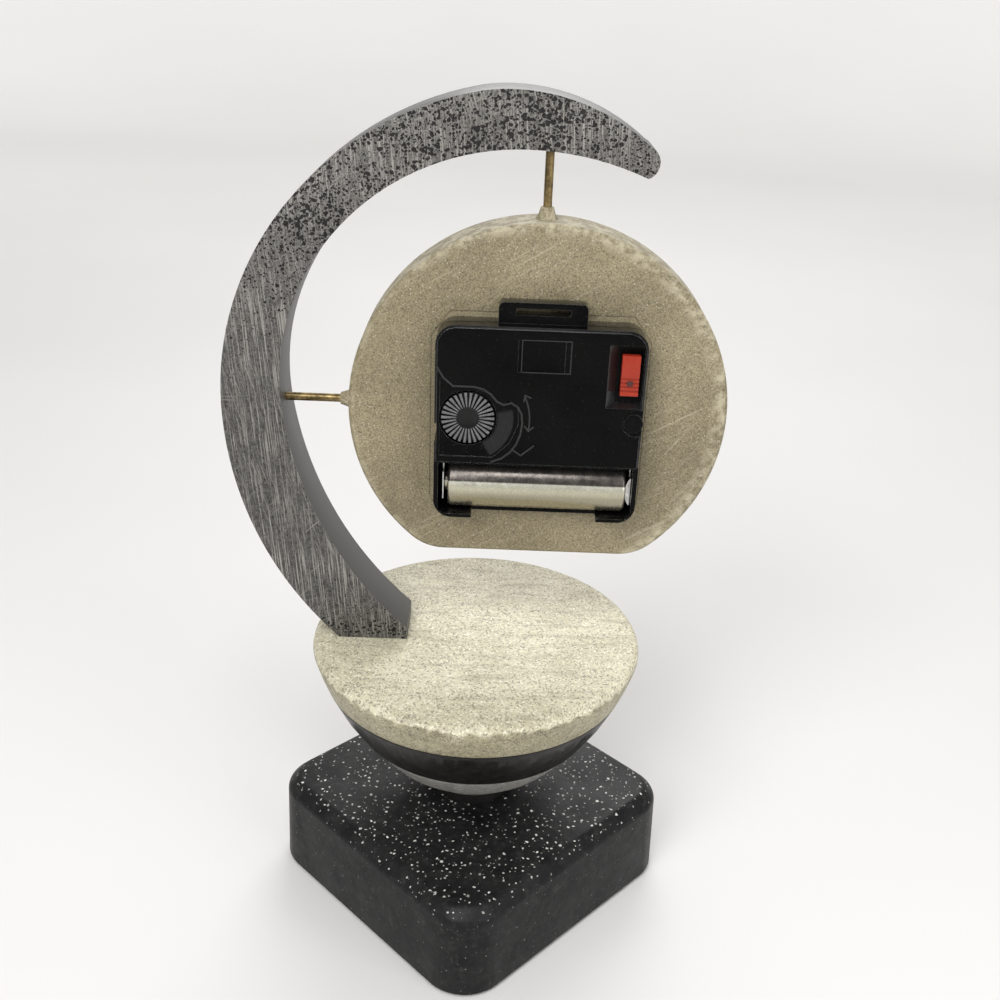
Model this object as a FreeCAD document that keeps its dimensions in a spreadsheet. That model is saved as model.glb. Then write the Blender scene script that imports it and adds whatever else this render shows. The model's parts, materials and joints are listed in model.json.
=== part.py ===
import FreeCAD, Part

import math
import os

import Sketcher

# Desk clock with a crescent arm, a round cast dial and a battery movement.
# The bottom of the felt under the base is at height zero and the base is centred on the origin.
# The dial faces the -Y side, the movement faces the +Y side, and +Z is up.
# All lengths are millimetres and all angles are degrees.

SIZES = {
    # base block and felt
    "felt_thickness": 0.8,
    "felt_inset": 4.0,
    "base_width": 94.4,
    "base_height": 30.6,
    "base_corner_radius": 14.0,
    "base_edge": 3.4,
    "base_taper_angle": 1.6,
    "base_turn_angle": 45.0,
    "counterbore_diameter": 24.0,
    "counterbore_depth": 12.0,
    # clamp bolt through base, collar and bowl
    "bolt_diameter": 8.0,
    "bolt_clearance": 0.3,
    "bolt_head_diameter": 14.4,
    "bolt_head_height": 5.3,
    "bolt_reach": 30.0,
    "clamp_washer_diameter": 20.0,
    "clamp_washer_thickness": 1.6,
    "collar_diameter": 25.0,
    "collar_height": 7.4,
    # layered bowl
    "bowl_radius": 50.4,
    "bowl_wall_radius": 85.4,
    "bowl_centre_rise": 20.2,
    "bottom_layer_height": 20.5,
    "middle_layer_height": 16.3,
    "top_layer_height": 12.2,
    "bowl_edge": 2.5,
    # crescent arm
    "arm_rear": 5.9,
    "arm_thickness": 16.4,
    "arm_reach": 72.3,
    "arm_belly_drop": 85.0,
    "arm_foot_outer": 41.46,
    "arm_top_offset": 4.8,
    "arm_crown_radius": 44.9,
    "arm_tip_radius": 55.2,
    "arm_crown_width": 14.2,
    "arm_belly_width": 16.3,
    "arm_inner_top_offset": 9.1,
    "arm_join_angle": 7.4,
    "arm_inner_tip_radius": 80.9,
    "arm_tip_start": 39.7,
    "arm_tip_bulge": 2.6,
    "arm_foot_inner": 21.0,
    "arm_heel_rise": 3.86,
    "dowel_diameter": 3.0,
    "dowel_fit": 0.02,
    "dowel_depth": 8.0,
    "dowel_rise": 7.0,
    "dowel_inner_place": 29.5,
    "dowel_outer_place": 37.5,
    # hanging rods
    "rod_diameter": 2.3,
    "rod_fit": 0.02,
    "rod_seat": 6.0,
    "rod_end_gap": 0.3,
    # cast disc
    "disc_offset": 14.9,
    "disc_gap": 31.0,
    "disc_drop": 84.8,
    "disc_radius": 52.3,
    "disc_rear": 5.3,
    "disc_thickness": 15.5,
    "disc_flat_drop": 42.7,
    "disc_flat_corner_radius": 14.0,
    "disc_rear_edge": 0.8,
    "disc_front_edge": 2.0,
    "boss_rise": 3.0,
    "boss_base_radius": 4.2,
    "boss_tip_radius": 1.7,
    "boss_waist_radius": 2.3,
    "boss_waist_rise": 1.1,
    "boss_root": 2.0,
    "cut_overrun": 1.0,
    "pocket_depth": 7.9,
    "pocket_gap": 1.6,
    "pocket_chamfer_across": 5.0,
    "pocket_chamfer_down": 7.0,
    "pocket_corner_radius": 5.0,
    "dial_bore": 8.4,
    "marker_ring_radius": 36.0,
    "marker_width": 2.4,
    "quarter_marker_width": 4.2,
    "marker_height": 0.8,
    # fixing of the movement on the disc
    "rubber_washer_diameter": 24.0,
    "rubber_washer_thickness": 1.0,
    "bushing_diameter": 7.8,
    "bushing_bore": 5.1,
    "bushing_flange_diameter": 10.4,
    "bushing_flange_thickness": 0.6,
    "bushing_stick_out": 1.2,
    "brass_washer_diameter": 14.0,
    "brass_washer_thickness": 0.5,
    "nut_diameter": 13.6,
    "nut_thickness": 2.5,
    "thread_fit": 0.02,
    # movement case
    "movement_depth": 15.8,
    "case_half_width": 28.0,
    "case_top_clearance": 5.2,
    "case_bottom_reach": 27.9,
    "case_top_corner_radius": 5.5,
    "case_bottom_corner_radius": 5.0,
    "case_wall": 1.2,
    "bay_floor_wall": 1.0,
    "bay_corner_radius": 2.0,
    "bay_gap": 0.3,
    "case_shell_depth": 5.6,
    "case_edge": 0.6,
    "bay_top_drop": 11.2,
    "partition_drop": 0.4,
    "bay_lip_setback": 5.5,
    "foot_inner": 17.4,
    "plate_thickness": 0.8,
    "plate_inset": 0.65,
    "plate_fit": 0.05,
    "post_radius": 1.5,
    "stator_post_across": 11.0,
    "stator_post_up": 14.4,
    "board_post_across": 22.0,
    "board_post_up": 20.5,
    "board_post_down": 6.5,
    # rear cover
    "tab_half_width": 11.7,
    "tab_rise": 5.6,
    "tab_setback": 4.0,
    "tab_thickness": 4.2,
    "tab_corner_radius": 1.6,
    "tab_slot_half_length": 7.2,
    "tab_slot_height": 1.9,
    "tab_slot_up": 2.2,
    "label_half_width": 6.2,
    "label_half_height": 4.4,
    "label_up": 19.5,
    "label_depth": 0.4,
    "knob_recess_radius": 7.8,
    "knob_recess_depth": 2.6,
    "knob_cup_wall": 0.6,
    "fan_recess_depth": 0.5,
    "slider_recess_inner": 17.7,
    "slider_recess_outer": 27.0,
    "slider_recess_low": 6.0,
    "slider_recess_high": 23.4,
    "slider_recess_depth": 2.0,
    "slider_floor_wall": 1.0,
    "peg_across": 26.4,
    "peg_up": 1.8,
    "peg_notch_radius": 3.9,
    "peg_radius": 2.6,
    "peg_notch_depth": 0.9,
    "finger_notch_depth": 0.7,
    "finger_notch_length": 5.6,
    "finger_notch_top": 0.2,
    "pivot_boss_radius": 1.3,
    "pivot_boss_length": 3.0,
    "pivot_hole_depth": 0.9,
    # start and stop slider
    "slider_width": 4.8,
    "slider_length": 11.1,
    "slider_across": 23.6,
    "slider_up": 15.2,
    "slider_proud": 0.2,
    "slider_clearance": 0.06,
    "slider_stem_width": 1.6,
    "slider_stem_length": 3.0,
    "slider_stem_tail": 0.3,
    "slider_travel": 2.2,
    "slider_rib_depth": 0.4,
    "slider_rib_pitch": 1.1,
    # battery and its contacts
    "battery_radius": 7.1,
    "battery_length": 49.2,
    "battery_proud": 0.4,
    "battery_edge": 0.6,
    "nub_radius": 2.75,
    "nub_length": 1.2,
    "nub_reach": 25.3,
    "contact_thickness": 0.3,
    "contact_width": 8.0,
    "contact_fit": 0.02,
    "contact_leg_width": 3.0,
    "contact_leg_rise": 6.0,
    "contact_leg_gap": 0.3,
    "spring_wall_gap": 0.2,
    # electronics
    "board_thickness": 0.8,
    "board_inner": 14.4,
    "board_outer": 25.6,
    "board_low": 8.4,
    "board_high": 24.0,
    "board_standoff": 3.8,
    "crystal_radius": 1.0,
    "crystal_length": 6.0,
    "chip_radius": 2.8,
    "chip_height": 0.9,
    "chip_up": 10.0,
    "board_part_across": 20.0,
    "crystal_fit": 0.02,
    "crystal_down": 7.0,
    # coil and stator
    "stator_half_length": 13.0,
    "stator_bottom": 9.6,
    "stator_waist": 17.0,
    "stator_top": 22.0,
    "stator_thickness": 0.7,
    "stator_standoff": 2.4,
    "stator_window_half": 8.9,
    "core_height": 2.0,
    "rotor_gap": 0.35,
    "bobbin_fit": 0.05,
    "bobbin_flange": 0.8,
    "bobbin_core_radius": 1.55,
    "bobbin_end_gap": 0.1,
    "bobbin_flange_radius": 2.68,
    "coil_radius": 2.5,
    "coil_end_gap": 0.1,
    # wheels, their levels above the case floor and their centres
    "second_module": 0.32,
    "rotor_module": 0.24,
    "third_module": 0.25,
    "motion_module": 0.35,
    "wheel_thickness": 0.6,
    "pinion_thickness": 1.0,
    "hour_wheel_level": 0.4,
    "motion_level": 1.6,
    "centre_wheel_level": 3.1,
    "third_wheel_level": 5.6,
    "second_wheel_level": 7.2,
    "intermediate_wheel_level": 8.8,
    "magnet_level": 6.6,
    "magnet_length": 1.8,
    "magnet_radius": 2.8,
    "arbor_radius": 0.4,
    "arbor_rear_level": 10.8,
    "post_top_level": 2.6,
    "pivot_clearance": 0.05,
    "second_arbor_radius": 0.5,
    "minute_arbor_radius": 1.5,
    "hour_tube_radius": 2.5,
    "wheel_post_radius": 0.6,
    "third_angle": 150.0,
    "intermediate_angle": 75.0,
    "rotor_angle": 60.0,
    "motion_angle": 20.3,
    "knob_angle": -6.7,
    "clutch_hub_radius": 2.5,
    "clutch_hub_length": 0.9,
    "pivot_post_radius": 1.2,
    "pivot_post_level": 2.4,
    "arbor_hub_radius": 0.65,
    "wheel_hub_radius": 1.2,
    "rotor_pinion_lead": 0.2,
    "arbor_front_level": 1.9,
    "short_arbor_level": 4.5,
    "minute_arbor_rear_level": 4.9,
    # time setting knob
    "knob_radius": 7.15,
    "knob_hub_radius": 2.9,
    "knob_hub_drop": 0.3,
    "knob_disc_thickness": 0.8,
    "knob_rib_height": 1.2,
    "knob_floor_gap": 0.2,
    "knob_shaft_radius": 1.0,
    "knob_pivot_depth": 0.7,
    # hands
    "tube_step": 1.3,
    "hand_thickness": 0.5,
    "hand_inset": 0.1,
    "hour_hand_length": 25.0,
    "hour_hand_width": 4.0,
    "minute_hand_length": 37.0,
    "minute_hand_width": 3.0,
    "second_hand_length": 38.0,
    "second_hand_width": 0.9,
    "second_hand_tail": 11.0,
    "hand_tip_width": 0.8,
    "hand_rim": 1.6,
    "hand_fit": 0.02,
    "hour_hand_angle": 305.3,
    "minute_hand_angle": 63.5,
    "second_hand_angle": 210.0,
}

# Teeth of every wheel and pinion.
HOUR_TEETH = 40
MINUTE_PINION_TEETH = 10
MINUTE_TEETH = 36
CANNON_TEETH = 12
KNOB_TEETH = 28
CENTRE_TEETH = 64
THIRD_TEETH = 60
THIRD_PINION_TEETH = 8
SECOND_PINION_TEETH = 8
SECOND_TEETH = 40
INTERMEDIATE_PINION_TEETH = 8
INTERMEDIATE_TEETH = 48
ROTOR_TEETH = 8
KNOB_RIBS = 30
SLIDER_RIBS = 4

# Hour markers, and how many of them make a quarter of the dial.
MARKERS = 12
QUARTER = 3

HALF_TURN = 180.0
FULL_TURN = 360.0

# Tooth form: widths as shares of the pitch, heights as shares of the module.
TOOTH_ROOT_SHARE = 0.5
TOOTH_TIP_SHARE = 0.16
TOOTH_ADDENDUM_SHARE = 0.75
TOOTH_DEDENDUM_SHARE = 1.05

# Width of a knob rib as a share of the pitch of the ribs.
KNOB_RIB_SHARE = 0.5

# Outline of the sunken fan beside the knob: x as a share of the half width of the case,
# z as a share of the depth of the battery bay's top below the shaft.
FAN_OUTLINE_SHARES = (
    (0.95, 1.15),
    (0.82, 0.93),
    (0.65, 0.93),
    (0.50, 0.81),
    (0.38, 0.50),
    (0.29, 0.64),
    (0.20, 0.42),
    (0.19, 0.05),
    (0.27, -0.46),
    (0.43, -0.84),
    (0.95, -0.84),
)

# Places up the wall of a bowl layer, as shares of its height.
WALL_SHARES = (0.0, 0.5, 1.0)

# Places on the bowl's rounded lip, across and up as shares of the lip.
LIP_SHARES = (
    (0.92, 0.38),
    (0.71, 0.71),
    (0.38, 0.92),
)

# Places along an edge where its level is tested, and the slack of that test.
SPOT_SHARES = (0.0, 0.3, 0.5, 1.0)
TOUCH = 1e-4

# The direction from the dial toward the movement.
BACKWARD = FreeCAD.Vector(0, 1, 0)

doc = FreeCAD.newDocument("DeskClock")
pieces = []


class Sized:
    """A length or angle together with the sheet expression that it comes from."""

    def __init__(self, value, text):
        self.value = float(value)
        self.text = text

    def __add__(self, other):
        return Sized(self.value + number(other), "(%s + %s)" % (self.text, words(other)))

    def __radd__(self, other):
        return Sized(number(other) + self.value, "(%s + %s)" % (words(other), self.text))

    def __sub__(self, other):
        return Sized(self.value - number(other), "(%s - %s)" % (self.text, words(other)))

    def __rsub__(self, other):
        return Sized(number(other) - self.value, "(%s - %s)" % (words(other), self.text))

    def __mul__(self, other):
        return Sized(self.value * number(other), "(%s * %s)" % (self.text, words(other)))

    def __rmul__(self, other):
        return self * other

    def __truediv__(self, other):
        return Sized(self.value / number(other), "(%s / %s)" % (self.text, words(other)))

    def __neg__(self):
        return Sized(-self.value, "(0 - %s)" % self.text)


def number(item):
    """The plain value of a size or number."""
    return item.value if isinstance(item, Sized) else float(item)


def words(item):
    """The sheet expression of a size or number."""
    return item.text if isinstance(item, Sized) else repr(item)


def square_root(item):
    return Sized(math.sqrt(number(item)), "sqrt(%s)" % words(item))


def cosine(angle):
    return Sized(math.cos(math.radians(angle.value)), "cos(%s * 1 deg)" % angle.text)


def sine(angle):
    return Sized(math.sin(math.radians(angle.value)), "sin(%s * 1 deg)" % angle.text)


class Named:
    """Every size in the sheet as an attribute."""


def fill_sheet():
    """Write all sizes to the sheet and return them by name."""
    sheet = doc.addObject("Spreadsheet::Sheet", "Sizes")
    named = Named()
    for row, (name, value) in enumerate(SIZES.items(), start=1):
        sheet.set("A%d" % row, name)
        sheet.set("B%d" % row, str(value))
        sheet.setAlias("B%d" % row, name)
        setattr(named, name, Sized(value, "Sizes." + name))
    doc.recompute()
    return named


S = fill_sheet()
ZERO = Sized(0.0, "0")

# Heights of the stack, from the table up.
base_bottom = S.felt_thickness
base_top = base_bottom + S.base_height
bowl_bottom = base_top + S.collar_height
bottom_layer_top = bowl_bottom + S.bottom_layer_height
middle_layer_top = bottom_layer_top + S.middle_layer_height
bowl_top = middle_layer_top + S.top_layer_height

# Axis of the clock and the depths of the disc and the movement along Y.
axis_x = -S.disc_offset
axis_z = bowl_top + S.disc_gap + S.disc_flat_drop
arm_top = axis_z + S.disc_drop
disc_front = S.disc_rear - S.disc_thickness
disc_middle = S.disc_rear - S.disc_thickness / 2
arm_front = S.arm_rear - S.arm_thickness
arm_middle = S.arm_rear - S.arm_thickness / 2

# Top of the movement's case above its shaft, clear of the coil.
case_top = S.stator_top + S.case_top_clearance

# Crown of the arm's inner edge.
inner_crown = S.arm_reach - S.arm_belly_width + S.arm_inner_top_offset
inner_top_x = -S.arm_inner_top_offset
inner_top_z = arm_top - S.arm_crown_width
inner_crown_z = inner_top_z - inner_crown
pocket_floor = S.disc_rear - S.pocket_depth
case_front = pocket_floor + S.rubber_washer_thickness
case_floor = case_front + S.case_wall
case_rim = case_front + S.case_shell_depth
plate_rear = case_rim + S.plate_thickness
case_rear = case_front + S.movement_depth
cover_ceiling = case_rear - S.case_wall
washer_front = disc_front - S.brass_washer_thickness
nut_front = washer_front - S.nut_thickness
bushing_front = nut_front - S.bushing_stick_out
hour_tube_front = bushing_front - S.tube_step
minute_arbor_front = hour_tube_front - S.tube_step
second_arbor_front = minute_arbor_front - S.tube_step

# Modules and centre distances of the wheels.
hour_module = S.motion_module * (CANNON_TEETH + MINUTE_TEETH) / (MINUTE_PINION_TEETH + HOUR_TEETH)
motion_distance = S.motion_module * (CANNON_TEETH + MINUTE_TEETH) / 2
knob_distance = S.motion_module * (KNOB_TEETH + MINUTE_TEETH) / 2
third_distance = S.third_module * (SECOND_PINION_TEETH + THIRD_TEETH) / 2
centre_module = third_distance * 2 / (THIRD_PINION_TEETH + CENTRE_TEETH)
intermediate_distance = S.second_module * (INTERMEDIATE_PINION_TEETH + SECOND_TEETH) / 2
rotor_distance = S.rotor_module * (ROTOR_TEETH + INTERMEDIATE_TEETH) / 2

# Wheel axes, measured across (X) and up (Z) from the axis of the clock.
motion_x = motion_distance * cosine(S.motion_angle)
motion_z = motion_distance * sine(S.motion_angle)
knob_x = motion_x + knob_distance * cosine(S.knob_angle)
knob_z = motion_z + knob_distance * sine(S.knob_angle)
third_x = third_distance * cosine(S.third_angle)
third_z = third_distance * sine(S.third_angle)
intermediate_x = intermediate_distance * cosine(S.intermediate_angle)
intermediate_z = intermediate_distance * sine(S.intermediate_angle)
rotor_x = intermediate_x + rotor_distance * cosine(S.rotor_angle)
rotor_z = intermediate_z + rotor_distance * sine(S.rotor_angle)
rear_pivots = (
    (ZERO, ZERO, S.second_arbor_radius),
    (third_x, third_z, S.arbor_radius),
    (intermediate_x, intermediate_z, S.arbor_radius),
    (rotor_x, rotor_z, S.arbor_radius),
)


def place(piece, x=ZERO, y=ZERO, z=ZERO):
    """Bind the place of a sub-part to sizes."""
    for letter, item in (("x", x), ("y", y), ("z", z)):
        piece.setExpression("Placement.Base.%s" % letter, words(item))


def new_body(label, x=ZERO, y=ZERO, z=ZERO):
    """An empty body, listed as a sub-part under its label."""
    body = doc.addObject("PartDesign::Body", label)
    body.Label = label
    pieces.append(body)
    place(body, x, y, z)
    return body


def clock_body(label):
    """A body whose origin lies on the axis of the clock."""
    return new_body(label, axis_x, ZERO, axis_z)


def sketch_on(body, name, role="XZ_Plane", level=ZERO):
    """A sketch on one of the body's own planes, moved along the plane's axis to a level."""
    plane = [item for item in body.Origin.OriginFeatures if item.Role == role][0]
    sketch = body.newObject("Sketcher::SketchObject", "%s_%s" % (body.Label, name))
    sketch.AttachmentSupport = [(plane, "")]
    sketch.MapMode = "FlatFace"
    offset = -level if role == "XZ_Plane" else level
    sketch.setExpression("AttachmentOffset.Base.z", words(offset))
    return sketch


def bind(sketch, constraint, name, item):
    """Add a dimension whose value follows a size."""
    index = sketch.addConstraint(constraint)
    sketch.renameConstraint(index, name)
    sketch.setExpression("Constraints.%s" % name, words(item))


def arc_between(start, end, radius, turn):
    """The arc of under a half circle from start to end; turn is 1 for anticlockwise."""
    middle = (start + end) * 0.5
    half = (end - start).Length / 2
    along = (end - start).normalize()
    left = FreeCAD.Vector(-along.y, along.x, 0)
    centre = middle + left * (turn * math.sqrt(max(radius ** 2 - half ** 2, 0)))
    first = math.atan2(start.y - centre.y, start.x - centre.x)
    last = math.atan2(end.y - centre.y, end.x - centre.x)
    circle = Part.Circle(centre, FreeCAD.Vector(0, 0, 1), radius)
    return Part.ArcOfCircle(circle, first, last) if turn > 0 else Part.ArcOfCircle(circle, last, first)


def outline(sketch, corners):
    """A closed outline. A corner is (x, y), or (x, y, radius, turn) where an arc leaves it."""
    first = sketch.GeometryCount
    count = len(corners)
    points = [FreeCAD.Vector(number(corner[0]), number(corner[1]), 0) for corner in corners]
    ends = []
    for index, corner in enumerate(corners):
        start = points[index]
        end = points[(index + 1) % count]
        if len(corner) == 2:
            sketch.addGeometry(Part.LineSegment(start, end), False)
            ends.append((1, 2))
        else:
            sketch.addGeometry(arc_between(start, end, number(corner[2]), corner[3]), False)
            ends.append((1, 2) if corner[3] > 0 else (2, 1))
    for index, corner in enumerate(corners):
        shape = first + index
        following = (index + 1) % count
        join = (shape, ends[index][1], first + following, ends[following][0])
        sketch.addConstraint(Sketcher.Constraint("Coincident", *join))
        spot = (-1, 1, shape, ends[index][0])
        across = Sketcher.Constraint("DistanceX", *spot, points[index].x)
        upward = Sketcher.Constraint("DistanceY", *spot, points[index].y)
        bind(sketch, across, "across%d" % shape, corner[0])
        bind(sketch, upward, "upward%d" % shape, corner[1])
        if len(corner) == 4:
            curve = Sketcher.Constraint("Radius", shape, number(corner[2]))
            bind(sketch, curve, "radius%d" % shape, corner[2])


def circle(sketch, x, y, radius):
    """A full circle about a point."""
    shape = sketch.GeometryCount
    centre = FreeCAD.Vector(number(x), number(y), 0)
    sketch.addGeometry(Part.Circle(centre, FreeCAD.Vector(0, 0, 1), number(radius)), False)
    across = Sketcher.Constraint("DistanceX", -1, 1, shape, 3, centre.x)
    upward = Sketcher.Constraint("DistanceY", -1, 1, shape, 3, centre.y)
    bind(sketch, across, "across%d" % shape, x)
    bind(sketch, upward, "upward%d" % shape, y)
    bind(sketch, Sketcher.Constraint("Radius", shape, number(radius)), "radius%d" % shape, radius)


def box_corners(left, right, low, high):
    """Corners of an upright rectangle."""
    return [(left, low), (right, low), (right, high), (left, high)]


def hexagon(tall):
    """Corners of a hexagon, from its centre to its corners."""
    low = tall * square_root(3) / 2
    half = tall / 2
    return [(tall, ZERO), (half, low), (-half, low), (-tall, ZERO), (-half, -low), (half, -low)]


def round_corners(left, right, low, high, low_radius, high_radius):
    """Corners of a rectangle with round corners, one radius below and one above."""
    return [
        (left + low_radius, low),
        (right - low_radius, low, low_radius, 1),
        (right, low + low_radius),
        (right, high - high_radius, high_radius, 1),
        (right - high_radius, high),
        (left + high_radius, high, high_radius, 1),
        (left, high - high_radius),
        (left, low + low_radius, low_radius, 1),
    ]


def extrude(body, sketch, kind, length, backward):
    """A pad or pocket of a sketch; it must change the volume of the body."""
    before = body.Shape.Volume if body.Tip else 0.0
    feature = body.newObject("PartDesign::%s" % kind, "%s_%s" % (sketch.Name, kind.lower()))
    feature.Profile = sketch
    feature.setExpression("Length", words(length))
    feature.Reversed = backward
    sketch.Visibility = False
    body.Tip = feature
    doc.recompute()
    changed = body.Shape.Volume - before
    if (kind == "Pad") != (changed > 0) or changed == 0:
        raise RuntimeError("%s changed the volume by %.4f" % (feature.Name, changed))
    return feature


def pad_back(body, name, corners, front, rear, holes=()):
    """A slab between two depths along Y, with round holes."""
    sketch = sketch_on(body, name, "XZ_Plane", front)
    outline(sketch, corners)
    for hole in holes:
        circle(sketch, *hole)
    return extrude(body, sketch, "Pad", rear - front, True)


def pad_up(body, name, corners, low, high, holes=()):
    """A slab between two heights along Z, with round holes."""
    sketch = sketch_on(body, name, "XY_Plane", low)
    outline(sketch, corners)
    for hole in holes:
        circle(sketch, *hole)
    return extrude(body, sketch, "Pad", high - low, False)


def cut_back(body, name, corners, front, rear):
    """Remove an outline between two depths along Y."""
    sketch = sketch_on(body, name, "XZ_Plane", front)
    outline(sketch, corners)
    return extrude(body, sketch, "Pocket", rear - front, False)


def studs(body, name, circles, front, rear):
    """Round posts between two depths along Y."""
    sketch = sketch_on(body, name, "XZ_Plane", front)
    for spot in circles:
        circle(sketch, *spot)
    return extrude(body, sketch, "Pad", rear - front, True)


def drill_back(body, name, circles, front, rear):
    """Round holes between two depths along Y."""
    sketch = sketch_on(body, name, "XZ_Plane", front)
    for spot in circles:
        circle(sketch, *spot)
    return extrude(body, sketch, "Pocket", rear - front, False)


def spin(body, name, corners, role, axis, level=ZERO, kind="Revolution"):
    """Turn an outline about an axis of its sketch, to add a solid or to remove one."""
    sketch = sketch_on(body, name, role, level)
    outline(sketch, corners)
    before = body.Shape.Volume if body.Tip else 0.0
    feature = body.newObject("PartDesign::%s" % kind, "%s_%s" % (sketch.Name, kind.lower()))
    feature.Profile = sketch
    feature.ReferenceAxis = (sketch, [axis])
    feature.Angle = FULL_TURN
    sketch.Visibility = False
    body.Tip = feature
    doc.recompute()
    changed = body.Shape.Volume - before
    if (kind == "Revolution") != (changed > 0) or changed == 0:
        raise RuntimeError("%s changed the volume by %.4f" % (feature.Name, changed))
    return feature


def turned_upright(body, name, corners, kind="Revolution"):
    """Turn a (radius, height) outline about Z."""
    return spin(body, name, corners, "XZ_Plane", "V_Axis", ZERO, kind)


def turned_deep(body, name, corners, kind="Revolution"):
    """Turn a (radius, depth) outline about Y."""
    return spin(body, name, corners, "XY_Plane", "V_Axis", ZERO, kind)


def soften(body, name, kind, size, chosen):
    """Fillet or chamfer the edges that the test picks."""
    tip = body.Tip
    edges = ["Edge%d" % (index + 1) for index, edge in enumerate(tip.Shape.Edges) if chosen(edge)]
    if not edges:
        raise RuntimeError("no edge for %s of %s" % (name, body.Label))
    feature = body.newObject("PartDesign::%s" % kind, "%s_%s" % (body.Label, name))
    feature.Base = (tip, edges)
    feature.setExpression("Radius" if kind == "Fillet" else "Size", words(size))
    body.Tip = feature
    doc.recompute()
    return feature


def level_edge(letter, level):
    """A test for edges that lie wholly at one level of x, y or z."""

    def lies_there(edge):
        first = edge.FirstParameter
        last = edge.LastParameter
        spots = [edge.valueAt(first + (last - first) * share) for share in SPOT_SHARES]
        return all(abs(getattr(spot, letter) - number(level)) < TOUCH for spot in spots)

    return lies_there


def runs_deep(edge):
    """Whether an edge runs straight along Y."""
    start = edge.valueAt(edge.FirstParameter)
    end = edge.valueAt(edge.LastParameter)
    return abs(start.x - end.x) < TOUCH and abs(start.z - end.z) < TOUCH


def shaped(label, shape, x=ZERO, y=ZERO, z=ZERO):
    """A sub-part whose shape is made by formula."""
    feature = doc.addObject("Part::Feature", label)
    feature.Label = label
    feature.Shape = shape
    place(feature, x, y, z)
    pieces.append(feature)
    return feature


def gear_points(teeth, module, phase):
    """Corners of a toothed outline; one tooth is centred at the phase angle."""
    pitch = 2 * math.pi / teeth
    middle = module * teeth / 2
    root = middle - TOOTH_DEDENDUM_SHARE * module
    tip = middle + TOOTH_ADDENDUM_SHARE * module
    flank = (
        (root, -TOOTH_ROOT_SHARE / 2),
        (tip, -TOOTH_TIP_SHARE / 2),
        (tip, TOOTH_TIP_SHARE / 2),
        (root, TOOTH_ROOT_SHARE / 2),
    )
    points = []
    for tooth in range(teeth):
        for radius, share in flank:
            angle = math.radians(number(phase)) + (tooth + share) * pitch
            points.append(FreeCAD.Vector(radius * math.cos(angle), 0, radius * math.sin(angle)))
    return points


def gear_disc(teeth, module, phase, front, thickness):
    """A toothed disc on the Y axis, from a depth toward the rear."""
    points = gear_points(teeth, number(module), phase)
    face = Part.Face(Part.makePolygon(points + points[:1]))
    disc = face.extrude(BACKWARD * number(thickness))
    disc.translate(BACKWARD * number(front))
    return disc


def shaft(radius, front, rear):
    """A round bar on the Y axis between two depths."""
    start = BACKWARD * number(front)
    length = number(rear) - number(front)
    return Part.makeCylinder(number(radius), length, start, BACKWARD)


def joined(*shapes):
    """One solid from overlapping shapes."""
    whole = shapes[0]
    for shape in shapes[1:]:
        whole = whole.fuse(shape)
    return whole.removeSplitter()


def meshed_phase(phase, direction, teeth, driven_teeth):
    """Phase of a wheel whose gap receives the neighbour's tooth on the line of centres."""
    pitch = FULL_TURN / driven_teeth
    return direction + HALF_TURN + (direction - phase) * teeth / driven_teeth - pitch / 2


def radius_at(height):
    """Outer radius of the bowl at a height."""
    centre_height = bowl_top + S.bowl_centre_rise
    inward = square_root(S.bowl_wall_radius * S.bowl_wall_radius - S.bowl_centre_rise * S.bowl_centre_rise)
    drop = centre_height - height
    outward = square_root(S.bowl_wall_radius * S.bowl_wall_radius - drop * drop)
    return S.bowl_radius - inward + outward


def inner_arm_x(height):
    """X of the arm's inner edge at a height beside its crown's centre."""
    rise = height - inner_crown_z
    return inner_top_x + square_root(inner_crown * inner_crown - rise * rise)


def inner_arm_z(across):
    """Height of the arm's inner edge above a place near the tip."""
    run = across - S.arm_inner_top_offset
    rise = S.arm_inner_tip_radius * S.arm_inner_tip_radius - run * run
    return inner_top_z - S.arm_inner_tip_radius + square_root(rise)


# Base, felt and clamp bolt

def square_corners(half, radius):
    return round_corners(-half, half, -half, half, radius, radius)


def make_base():
    half = S.base_width / 2
    body = new_body("base_block")
    block = pad_up(body, "block", square_corners(half, S.base_corner_radius), base_bottom, base_top)
    block.setExpression("TaperAngle", words(-S.base_taper_angle))
    doc.recompute()
    soften(body, "top_edge", "Chamfer", S.base_edge, level_edge("z", base_top))
    bolt_hole = S.bolt_diameter / 2 + S.bolt_clearance
    seat = base_bottom + S.counterbore_depth
    wide = S.counterbore_diameter / 2
    corners = [
        (ZERO, base_bottom),
        (wide, base_bottom),
        (wide, seat),
        (bolt_hole, seat),
        (bolt_hole, base_top),
        (ZERO, base_top),
    ]
    turned_upright(body, "bolt_way", corners, "Groove")
    body.setExpression("Placement.Rotation.Angle", "%s * 1 deg" % words(S.base_turn_angle))


def make_felt():
    half = S.base_width / 2 - S.felt_inset
    body = new_body("felt_pad")
    pad_up(body, "sheet", square_corners(half, S.base_corner_radius - S.felt_inset), ZERO, base_bottom)
    body.setExpression("Placement.Rotation.Angle", "%s * 1 deg" % words(S.base_turn_angle))


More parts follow.
